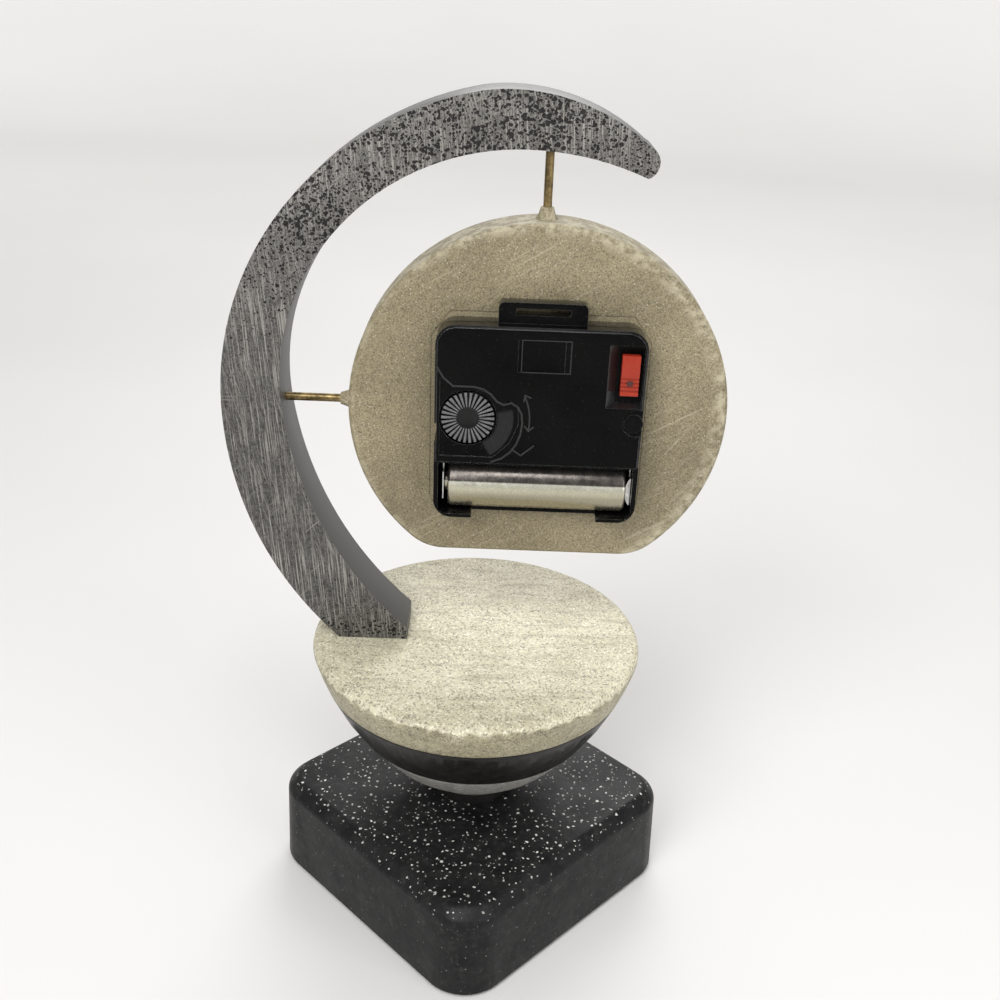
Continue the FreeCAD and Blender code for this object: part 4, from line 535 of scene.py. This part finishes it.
def etched_board():
    """Tan laminate with copper tracks under a clear film."""
    laminate = (0.3, 0.2, 0.08)
    m = Recipe("etched_board", laminate, 0.4)
    tracks = m.node("ShaderNodeTexBrick")
    m.join(m.turned((300.0, 300.0, 300.0), (90, 0, 0)), tracks.inputs["Vector"])
    tracks.inputs["Color1"].default_value = opaque((0.36, 0.24, 0.1))
    tracks.inputs["Color2"].default_value = opaque(laminate)
    tracks.inputs["Mortar"].default_value = opaque((0.55, 0.34, 0.14))
    tracks.inputs["Mortar Size"].default_value = 0.06
    m.colour(tracks.outputs["Color"])
    m.surface("Coat Weight", 0.4)
    grain = m.relief(m.noise(2000.0), 0.05, 0.0001)
    m.relief(tracks.outputs["Fac"], 0.2, 0.0001, grain)
    return m.material


def wound_wire():
    """Enamelled copper turns side by side along X."""
    m = Recipe("wound_wire", (0.5, 0.2, 0.07), 0.28, 0.9)
    turns = m.node("ShaderNodeTexWave", bands_direction="X")
    m.join(m.place, turns.inputs["Vector"])
    turns.inputs["Scale"].default_value = 3200.0
    turns.inputs["Distortion"].default_value = 0.4
    m.colour(m.ramp(turns.outputs["Fac"], [(0.2, (0.2, 0.06, 0.02)), (0.8, (0.62, 0.26, 0.1))]))
    m.relief(turns.outputs["Fac"], 0.5, 0.0001)
    return m.material


def wear(finish, *nodes):
    """Give CAD nodes a finish."""
    for name in nodes:
        materials = frame["nodes"][name].data.materials
        materials.clear()
        materials.append(finish)


# Modelling by hand

def body_with(node):
    """The name of the body that carries a node."""
    bodies = frame["record"]["behaviour"]["bodies"]
    return next(body for body, nodes in bodies.items() if node in nodes)


def clear_choice():
    """Leave edit mode and choose nothing."""
    if bpy.context.object and bpy.context.object.mode != "OBJECT":
        bpy.ops.object.mode_set(mode="OBJECT")
    bpy.ops.object.select_all(action="DESELECT")


def pick(piece):
    """Choose one piece alone."""
    clear_choice()
    piece.select_set(True)
    bpy.context.view_layer.objects.active = piece


def settle(piece, name, body, finish=None):
    """Put a piece's place in its mesh, name it, finish it and let it ride."""
    pick(piece)
    bpy.ops.object.transform_apply(location=True, rotation=True, scale=True)
    piece.name = name
    if finish is not None:
        piece.data.materials.clear()
        piece.data.materials.append(finish)
    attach(piece, body)


def merged_copy(node, name, *finishes):
    """A closed, joined copy of a CAD node's mesh to work on."""
    source = frame["nodes"][node]
    piece = bpy.data.objects.new(name, source.data.copy())
    bpy.context.scene.collection.objects.link(piece)
    pick(piece)
    bpy.ops.object.mode_set(mode="EDIT")
    bpy.ops.mesh.select_all(action="SELECT")
    bpy.ops.mesh.remove_doubles(threshold=SAME_PLACE)
    bpy.ops.mesh.dissolve_limited(angle_limit=math.radians(FLAT_DEGREES))
    bpy.ops.object.mode_set(mode="OBJECT")
    piece.data.materials.clear()
    for finish in finishes:
        piece.data.materials.append(finish)
    return piece


def bevelled(piece, width, segments, angle=35.0, finish_index=-1):
    """Round the edges that are sharper than an angle."""
    made = piece.modifiers.new("edge", "BEVEL")
    made.width = width
    made.segments = segments
    made.limit_method = "ANGLE"
    made.angle_limit = math.radians(angle)
    made.material = finish_index
    made.use_clamp_overlap = True
    pick(piece)
    bpy.ops.object.modifier_apply(modifier="edge")


def refined(node, name, width, finish, segments=2, angle=35.0, smooth=35.0, edge=None):
    """A copy of a node with rounded edges and smooth shading, which stands for the node."""
    finishes = [finish] if edge is None else [finish, edge]
    piece = merged_copy(node, name, *finishes)
    bevelled(piece, width, segments, angle, -1 if edge is None else 1)
    bpy.ops.object.shade_smooth_by_angle(angle=math.radians(smooth))
    settle(piece, name, body_with(node))
    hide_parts(node)
    wear(finish, node)


def band(name, centre, radius, width, start, sweep, low, high):
    """A flat raised band along an arc on the cover. Angles run from the image's right, upward."""
    clear_choice()
    bpy.ops.mesh.primitive_plane_add(size=1.0, location=(0, 0, 0))
    piece = bpy.context.object
    spread = Matrix.Diagonal((width, high - low, 1.0)).to_4x4()
    place = Matrix.Translation((-radius, (low + high) / 2, 0.0))
    turn = Matrix.Rotation(math.radians(start), 4, "Y")
    middle = (centre[0], 0.0, centre[1])
    piece.data.transform(Matrix.Translation(middle) @ turn @ place @ spread)
    bpy.ops.object.mode_set(mode="EDIT")
    bpy.ops.mesh.select_all(action="SELECT")
    bpy.ops.mesh.spin(steps=20, angle=-math.radians(sweep), center=middle, axis=(0, 1, 0))
    bpy.ops.mesh.select_all(action="SELECT")
    # A spin leaves its faces in no fixed order, so they are put in one.
    bpy.ops.mesh.sort_elements(type="CURSOR_DISTANCE", elements={"VERT", "EDGE", "FACE"})
    bpy.ops.mesh.normals_make_consistent(inside=False)
    bpy.ops.object.mode_set(mode="OBJECT")
    piece.name = name
    return piece


def cube(place=(0, 0, 0)):
    """A unit cube to shape."""
    clear_choice()
    bpy.ops.mesh.primitive_cube_add(size=1.0, location=place)
    return bpy.context.object


def bar(name, start, end, width, low, high):
    """A flat raised bar between two places on the cover."""
    run = (end[0] - start[0], end[1] - start[1])
    piece = cube(((start[0] + end[0]) / 2, (low + high) / 2, (start[1] + end[1]) / 2))
    piece.scale = (math.hypot(*run) + width, high - low, width)
    piece.rotation_euler = (0.0, -math.atan2(run[1], run[0]), 0.0)
    piece.name = name
    return piece


def block(name, low, high):
    """A box between two corners."""
    piece = cube((low + high) / 2)
    piece.scale = high - low
    bpy.ops.object.transform_apply(location=True, rotation=True, scale=True)
    piece.name = name
    return piece


def sloped_plate(start, end, thickness, run, along_x):
    """A plate whose outer face slopes from start to end and keeps its outline along X or Z."""
    piece = cube()
    first = end[0] - start[0]
    second = end[1] - start[1]
    width = math.hypot(first, second)
    length = run[1] - run[0]
    middle = (run[0] + run[1]) / 2
    half = thickness / 2 / width
    sunk = ((start[0] + end[0]) / 2 - second * half, (start[1] + end[1]) / 2 + first * half)
    if along_x:
        piece.scale = (length, thickness, width)
        piece.rotation_euler = (math.atan2(-first, second), 0.0, 0.0)
        piece.location = (middle, *sunk)
    else:
        piece.scale = (width, thickness, length)
        piece.rotation_euler = (0.0, 0.0, math.atan2(-second, -first))
        piece.location = (*sunk, middle)
    return piece


def joined(pieces, name):
    """Join several meshes into one piece."""
    clear_choice()
    for piece in pieces:
        piece.select_set(True)
    bpy.context.view_layer.objects.active = pieces[0]
    bpy.ops.object.join()
    pieces[0].name = name
    return pieces[0]


class ClockSizes(bpy.types.PropertyGroup):
    """Sizes and colours that a user would change."""

    arm_edge: bpy.props.FloatProperty(
        name="Arm edge",
        description="Width of the worn edge round the arm",
        default=0.7 * MM,
        unit="LENGTH",
    )
    mark_height: bpy.props.FloatProperty(
        name="Mark height",
        description="Height of the raised marks on the cover",
        default=0.25 * MM,
        unit="LENGTH",
    )
    lamp_power: bpy.props.FloatProperty(
        name="Lamp power",
        description="Strength of the main softbox",
        default=9.0,
        unit="POWER",
    )
    slider_colour: bpy.props.FloatVectorProperty(
        name="Slider colour",
        description="Colour of the start and stop slider",
        default=(0.28, 0.022, 0.007),
        size=3,
        subtype="COLOR",
    )


class CLOCK_OT_stand_finishes(bpy.types.Operator):
    """Finish the base, the bowl and the pieces between them"""

    bl_idname = "clock.stand_finishes"
    bl_label = "Stand finishes"

    def execute(self, context):
        refined("base_block", "base_cast", 3.0 * MM, black_terrazzo(), 5, 20.0, 60.0)
        wear(black_felt(), "felt_pad")
        # The cream stone's wall colour paints shade on the bowl's wall below the lip.
        cream = speckled_stone(
            "cream_stone", ((0.5, 0.46, 0.325), (0.64, 0.605, 0.45)), (0.92, 0.89, 0.74),
            (0.15, 0.13, 0.095), 0.5, 2100.0, wall=(0.6, 0.58, 0.52), vein=0.6,
        )
        brown = speckled_stone(
            "brown_stone", ((0.0045, 0.004, 0.0035), (0.011, 0.0098, 0.0085)),
            (0.022, 0.019, 0.016), 0.003, 0.34, 900.0, coat=0.06, depth=0.03, shine=0.22,
        )
        # The grey stone's colours are darkened to paint the shade that falls on the bottom layer
        # under the bowl.
        grey = speckled_stone(
            "grey_stone", ((0.2, 0.196, 0.18), (0.28, 0.272, 0.252)), (0.4, 0.39, 0.37),
            (0.07, 0.066, 0.06), 0.5, 1500.0,
        )
        refined("bowl_top_layer", "bowl_top", 0.5 * MM, cream, smooth=45.0)
        refined("bowl_middle_layer", "bowl_middle", 0.25 * MM, brown, smooth=45.0)
        refined("bowl_bottom_layer", "bowl_bottom", 0.25 * MM, grey, smooth=45.0)
        # The collar's near-black colour is painted shade for the dark gap under the bowl.
        wear(moulded("dark_collar", (0.006, 0.0052, 0.0048), 0.45), "spacer_collar")
        steel = plain_metal("zinc_steel", (0.55, 0.55, 0.57), 0.35, 0.3)
        wear(steel, "clamp_bolt", "clamp_washer", "arm_dowels")
        aged = plain_metal("aged_brass", (0.32, 0.235, 0.11), 0.3, dull=0.72, scale=420.0)
        wear(aged, "top_rod", "side_rod")
        return {"FINISHED"}


class CLOCK_OT_arm(bpy.types.Operator):
    """Model the ground and worn crescent arm"""

    bl_idname = "clock.arm"
    bl_label = "Crescent arm"

    def execute(self, context):
        width = context.scene.clock_sizes.arm_edge
        face = ground_metal("cast_arm", False)
        # The edge finish's light chipped colour is partly wear and partly a painted rim
        # highlight.
        edge = ground_metal("cast_arm_edge", True)
        refined("crescent_arm", "arm_cast", width, face, 3, edge=edge)
        return {"FINISHED"}


class CLOCK_OT_dial_finishes(bpy.types.Operator):
    """Finish the cast disc, its pocket's rim, the hour markers, the hands and the fixing"""

    bl_idname = "clock.dial_finishes"
    bl_label = "Dial finishes"

    def execute(self, context):
        resin = cast_resin()
        refined("clock_disc", "disc_cast", 0.9 * MM, resin, 4, 24.0, 50.0)
        self.seat_bead(resin)
        brass = plain_metal("clean_brass", (0.72, 0.52, 0.23), 0.25, 0.25)
        wear(brass, "hour_markers", "threaded_bushing", "brass_washer", "hex_nut", "minute_arbor")
        wear(moulded("black_rubber", (0.02, 0.02, 0.02), 0.8), "rubber_washer")
        black = moulded("hand_lacquer", (0.012, 0.012, 0.013), 0.25, 0.5, dust=0.01)
        wear(black, "hour_hand", "minute_hand")
        wear(moulded("red_lacquer", (0.45, 0.03, 0.02), 0.25, 0.5, dust=0.01), "second_hand")
        return {"FINISHED"}

    def seat_bead(self, finish):
        """Cast material that closes the gap between the disc's pocket and the movement's case."""
        low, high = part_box("movement_case")
        top = DIAL_FACE - 0.25 * MM
        spread = Vector((2.0, 0.0, 2.0)) * MM
        grip = Vector((0.1, 0.0, 0.1)) * MM
        depth = Vector((0.0, 1.6, 0.0)) * MM
        reach = Vector((0.0, 9.0, 0.0)) * MM
        corner_radius = 5.4 * MM
        floor = Vector((low.x, top, low.z))
        roof = Vector((high.x, top, high.z))
        bead = block("seat_bead", floor - spread - depth, roof + spread)
        inner = block("seat_bead_hole", floor + grip - reach, roof - grip + reach)
        bevelled(inner, corner_radius, 6)
        cut = bead.modifiers.new("cut", "BOOLEAN")
        cut.operation = "DIFFERENCE"
        cut.object = inner
        pick(bead)
        bpy.ops.object.modifier_apply(modifier="cut")
        pick(inner)
        bpy.ops.object.delete()
        settle(bead, "seat_bead", "stand", finish)


class CLOCK_OT_movement_finishes(bpy.types.Operator):
    """Finish the movement's case, cell, slider, knob and train"""

    bl_idname = "clock.movement_finishes"
    bl_label = "Movement finishes"

    def execute(self, context):
        colour = tuple(context.scene.clock_sizes.slider_colour)
        black = case_black("case_black", shine=0.07, wear_and_highlight=0.0, haze=0.2)
        # The edge finish is painted a lighter grey as a highlight line along the case's edges.
        glossy = case_black("case_edge_painted_highlight", shine=1.0, wear_and_highlight=0.1, haze=0.12)
        orange = moulded("slider_orange", colour, 0.36, 0.05, dust=0.01, shine=0.3)
        refined("movement_case", "case_shell", 0.25 * MM, black, smooth=40.0, edge=glossy)
        refined("rear_cover", "cover_shell", 0.3 * MM, black, 3, 30.0, 40.0, glossy)
        refined("time_set_knob", "knob_ribbed", 0.12 * MM, ribbed_black())
        refined("start_stop_slider", "slider_ribbed", 0.12 * MM, orange)
        refined("battery", "cell_sleeve", 0.3 * MM, cell_wrap(), 3, 30.0, 40.0)
        wear(
            moulded("wheel_white", (0.72, 0.71, 0.66), 0.4),
            "middle_plate", "coil_bobbin", "setting_pinion", "rotor", "intermediate_wheel",
            "second_wheel", "third_wheel", "centre_wheel", "minute_wheel", "hour_wheel",
        )
        nickel = plain_metal("nickel_strip", (0.66, 0.65, 0.63), 0.22, 0.25)
        wear(nickel, "positive_contact", "negative_contact", "quartz_crystal", "stator")
        wear(etched_board(), "circuit_board")
        wear(moulded("chip_resin", (0.01, 0.01, 0.01), 0.18, 0.3), "chip")
        wear(wound_wire(), "coil_winding")
        wear(plain_metal("sintered_magnet", (0.1, 0.1, 0.105), 0.5, 0.3), "rotor_magnet")
        return {"FINISHED"}


class CLOCK_OT_marks(bpy.types.Operator):
    """Model the raised marks on the cover, the slider's sloping walls and its inlaid square"""

    bl_idname = "clock.marks"
    bl_label = "Cover marks"

    def execute(self, context):
        self.cover_marks(context.scene.clock_sizes.mark_height)
        self.slider_frame()
        self.slider_spot()
        return {"FINISHED"}

    def cover_marks(self, height):
        """A line round the knob, an arrow, a tick and an empty frame."""
        high = COVER_FACE + height
        low = COVER_FACE - 0.2 * MM
        line_width, frame_width, ridge_width = 0.42 * MM, 0.3 * MM, 0.5 * MM
        frame_sunk, ridge_sunk = 0.1 * MM, 0.08 * MM
        arc_radius = 16.6 * MM
        pieces = [band("arrow", (KNOB_X, KNOB_Z), arc_radius, line_width, -9.0, 33.0, low, high)]

        def lay(kind, points, width, sunk=0.0):
            """Bars along points that are millimetres right of and above the knob."""
            spots = [(KNOB_X - right * MM, KNOB_Z + up * MM) for right, up in points]
            for start, end in zip(spots, spots[1:]):
                # Crossing bars get different heights, so that no two tops share a plane.
                step = 0.02 * MM * (1 + len(pieces) % 3)
                pieces.append(bar(kind, start, end, width, low, high - sunk - step))

        lay("barb", ((15.1, 7.2), (16.6, 6.6)), line_width)
        lay("barb", ((15.1, 7.2), (14.9, 5.6)), line_width)
        lay("barb", ((16.4, -2.9), (17.6, -1.8)), line_width)
        lay("barb", ((16.4, -2.9), (15.4, -1.6)), line_width)
        lay("tick", ((12.6, -8.7), (14.6, -10.1), (18.0, -7.2)), line_width)
        left, right, foot, head = 13.8, 26.7, 13.6, 22.4
        corners = ((left, foot), (right, foot), (right, head), (left, head), (left, foot))
        lay("frame", corners, frame_width, frame_sunk)
        lay("ridge", (
            (-8.3, 14.0), (-6.7, 11.4), (-4.1, 9.1), (1.4, 9.1), (4.0, 8.5), (6.0, 7.2),
            (7.7, 5.2), (9.5, 4.3), (11.6, 4.9), (13.4, 3.7), (14.4, 1.8), (14.7, -0.8),
            (14.3, -4.0), (13.3, -6.9), (11.6, -9.4), (9.4, -11.2), (6.7, -12.3),
        ), ridge_width, ridge_sunk)
        finish = moulded("mark_black", (0.009, 0.009, 0.0092), 0.3, 0.12, dust=0.01, shine=0.35)
        marks = joined(pieces, "cover_marks")
        settle(marks, "cover_marks", "stand", finish)

    def slider_frame(self):
        """Sloping walls at the inner side and the foot of the slider's recess."""
        inner = SHAFT_X - 17.7 * MM
        outer = SHAFT_X - 27.0 * MM
        foot = SHAFT_Z + 6.0 * MM
        head = SHAFT_Z + 23.4 * MM
        bottom = COVER_FACE - 2.0 * MM
        side_run, foot_run = 2.4 * MM, 1.3 * MM
        thickness = 0.5 * MM
        side = sloped_plate(
            (inner, COVER_FACE), (inner - side_run, bottom), thickness, (foot, head), False
        )
        base = sloped_plate(
            (COVER_FACE, foot), (bottom, foot + foot_run), thickness, (outer, inner), True
        )
        walls = joined([side, base], "slider_frame")
        finish = moulded("frame_black", (0.004, 0.004, 0.0042), 0.22, 0.25, dust=0.01)
        settle(walls, "slider_frame", "stand", finish)

    def slider_spot(self):
        """A dark inlaid square on the ribbed part of the slider."""
        low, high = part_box("start_stop_slider")
        width, thickness, sunk, edge = 1.6 * MM, 0.3 * MM, 0.12 * MM, 0.08 * MM
        share = 0.32
        piece = cube(((low.x + high.x) / 2, high.y - sunk, low.z + (high.z - low.z) * share))
        piece.scale = (width, thickness, width)
        bpy.ops.object.transform_apply(location=False, rotation=False, scale=True)
        bevelled(piece, edge, 2)
        shade = moulded("slider_spot_red", (0.05, 0.006, 0.004), 0.4, dust=0.01)
        slider = "start_stop_slider"
        settle(piece, "slider_spot", body_with(slider), shade)


class CLOCK_OT_stage(bpy.types.Operator):
    """Set the floor, the backdrop, the lamps and the camera"""

    bl_idname = "clock.stage"
    bl_label = "Stage"

    def execute(self, context):
        self.set_floor()
        self.set_sky(context)
        self.set_lamps(context)
        self.set_camera(context)
        context.scene.view_settings.view_transform = "Standard"
        return {"FINISHED"}

    def set_floor(self):
        """A pale floor that sweeps up to a wall and glows softly far from the clock."""
        floor_size, wall_height, sweep_radius, sweep_segments = 6.0, 4.0, 1.2, 16
        clear_choice()
        bpy.ops.mesh.primitive_plane_add(size=floor_size, location=(0, 0, 0))
        floor = bpy.context.object
        floor.name = "studio_floor"
        bpy.ops.object.mode_set(mode="EDIT")
        bpy.ops.mesh.select_mode(type="EDGE")
        bpy.ops.mesh.select_all(action="DESELECT")
        edit = bmesh.from_edit_mesh(floor.data)
        for edge in edit.edges:
            edge.select = all(vertex.co.y < -floor_size / 4 for vertex in edge.verts)
        edit.select_flush_mode()
        bmesh.update_edit_mesh(floor.data)
        bpy.ops.mesh.extrude_region_move(TRANSFORM_OT_translate={"value": (0, 0, wall_height)})
        bpy.ops.object.mode_set(mode="OBJECT")
        sweep = floor.modifiers.new("sweep", "BEVEL")
        sweep.width = sweep_radius
        sweep.segments = sweep_segments
        bpy.ops.object.modifier_apply(modifier="sweep")
        bpy.ops.object.shade_smooth()

        paper = Recipe("studio_paper", (0.72, 0.71, 0.7), 0.7)
        white = [(0.3, (0.71, 0.7, 0.69)), (0.7, (0.74, 0.73, 0.72))]
        paper.colour(paper.ramp(paper.noise(3.0, 2.0), white))
        reach = paper.node("ShaderNodeVectorMath", operation="LENGTH")
        paper.join(paper.place, reach.inputs[0])
        far = paper.times(reach.outputs["Value"], 0.3)  # 1 at 3.3 m
        glow = paper.ramp(far, [(0.17, 0.0), (0.44, 0.6), (0.9, 1.0)], smooth=True)
        paper.surface("Emission Color", opaque((0.95, 0.94, 0.92)))
        paper.surface("Emission Strength", paper.times(glow, 0.5))
        floor.data.materials.append(paper.material)

    def set_sky(self, context):
        """A pale sky that the camera sees brighter than it lights."""
        lighting, extra_when_seen = 0.42, 0.43
        world = bpy.data.worlds.new("studio")
        context.scene.world = world
        world.use_nodes = True
        nodes, links = world.node_tree.nodes, world.node_tree.links
        sky = nodes["Background"]
        sky.inputs["Color"].default_value = opaque((0.98, 0.97, 0.96))
        path = nodes.new("ShaderNodeLightPath")
        strength = nodes.new("ShaderNodeMath")
        strength.operation = "MULTIPLY_ADD"
        strength.inputs[1].default_value = extra_when_seen
        strength.inputs[2].default_value = lighting
        links.new(path.outputs["Is Camera Ray"], strength.inputs[0])
        links.new(strength.outputs[0], sky.inputs["Strength"])

    def set_lamps(self, context):
        """Square softboxes, each with its place, its aim, its share of the power and its size."""
        power = context.scene.clock_sizes.lamp_power
        lamps = (
            ("key_softbox", (0.45, 0.75, 0.85), (0.0, 0.0, 0.14), 0.8, 0.5),
            ("top_softbox", (0.0, 0.5, 0.95), (0.0, 0.0, 0.16), 0.3, 0.3),
            ("fill_softbox", (-0.7, 0.6, 0.5), (0.0, 0.0, 0.14), 0.35, 0.6),
            ("back_softbox", (-0.1, -0.8, 0.8), (0.0, 0.0, 0.14), 0.5, 0.6),
        )
        for name, place, aim, share, size in lamps:
            light = bpy.data.lights.new(name, "AREA")
            light.energy = power * share
            light.size = size
            lamp = bpy.data.objects.new(name, light)
            context.scene.collection.objects.link(lamp)
            lamp.location = place
            view = Vector(aim) - Vector(place)
            lamp.rotation_euler = view.to_track_quat("-Z", "Y").to_euler()

    def set_camera(self, context):
        """A camera in front of the movement, looking down, with a slight roll."""
        yaw, pitch, roll = (math.radians(angle) for angle in (0.35, 25.14, 2.29))
        place = Vector((-3.7, 299.4, 273.2)) * MM
        flat, drop = math.cos(pitch), math.sin(pitch)
        ahead = Vector((-math.sin(yaw) * flat, -math.cos(yaw) * flat, -drop))
        level = Vector((-math.cos(yaw), math.sin(yaw), 0.0))
        above = Vector((-math.sin(yaw) * drop, -math.cos(yaw) * drop, flat))
        right = level * math.cos(roll) + above * math.sin(roll)
        up = above * math.cos(roll) - level * math.sin(roll)
        lens = bpy.data.cameras.new("photo_camera")
        lens.lens = 40.91
        lens.sensor_width = 36.0
        lens.clip_start = 0.01
        lens.clip_end = 50.0
        camera = bpy.data.objects.new("photo_camera", lens)
        context.scene.collection.objects.link(camera)
        turn = Matrix((right, up, -ahead)).transposed().to_4x4()
        camera.matrix_world = Matrix.Translation(place) @ turn
        context.scene.camera = camera


class CLOCK_PT_tools(bpy.types.Panel):
    """The steps of the clock in the sidebar"""

    bl_idname = "CLOCK_PT_tools"
    bl_label = "Crescent Desk Clock"
    bl_space_type = "VIEW_3D"
    bl_region_type = "UI"
    bl_category = "Clock"

    def draw(self, context):
        column = self.layout.column()
        for name in ("arm_edge", "mark_height", "lamp_power", "slider_colour"):
            column.prop(context.scene.clock_sizes, name)
        for step in STEPS:
            column.operator(step.bl_idname)


STEPS = (
    CLOCK_OT_stand_finishes,
    CLOCK_OT_arm,
    CLOCK_OT_dial_finishes,
    CLOCK_OT_movement_finishes,
    CLOCK_OT_marks,
    CLOCK_OT_stage,
)
CLASSES = (ClockSizes, *STEPS, CLOCK_PT_tools)


def register():
    for cls in CLASSES:
        bpy.utils.register_class(cls)
    bpy.types.Scene.clock_sizes = bpy.props.PointerProperty(type=ClockSizes)


def unregister():
    del bpy.types.Scene.clock_sizes
    for cls in reversed(CLASSES):
        bpy.utils.unregister_class(cls)


def main():
    register()
    bpy.ops.clock.stand_finishes()
    bpy.ops.clock.arm()
    bpy.ops.clock.dial_finishes()
    bpy.ops.clock.movement_finishes()
    bpy.ops.clock.marks()
    bpy.ops.clock.stage()


if __name__ == "__main__":
    main()
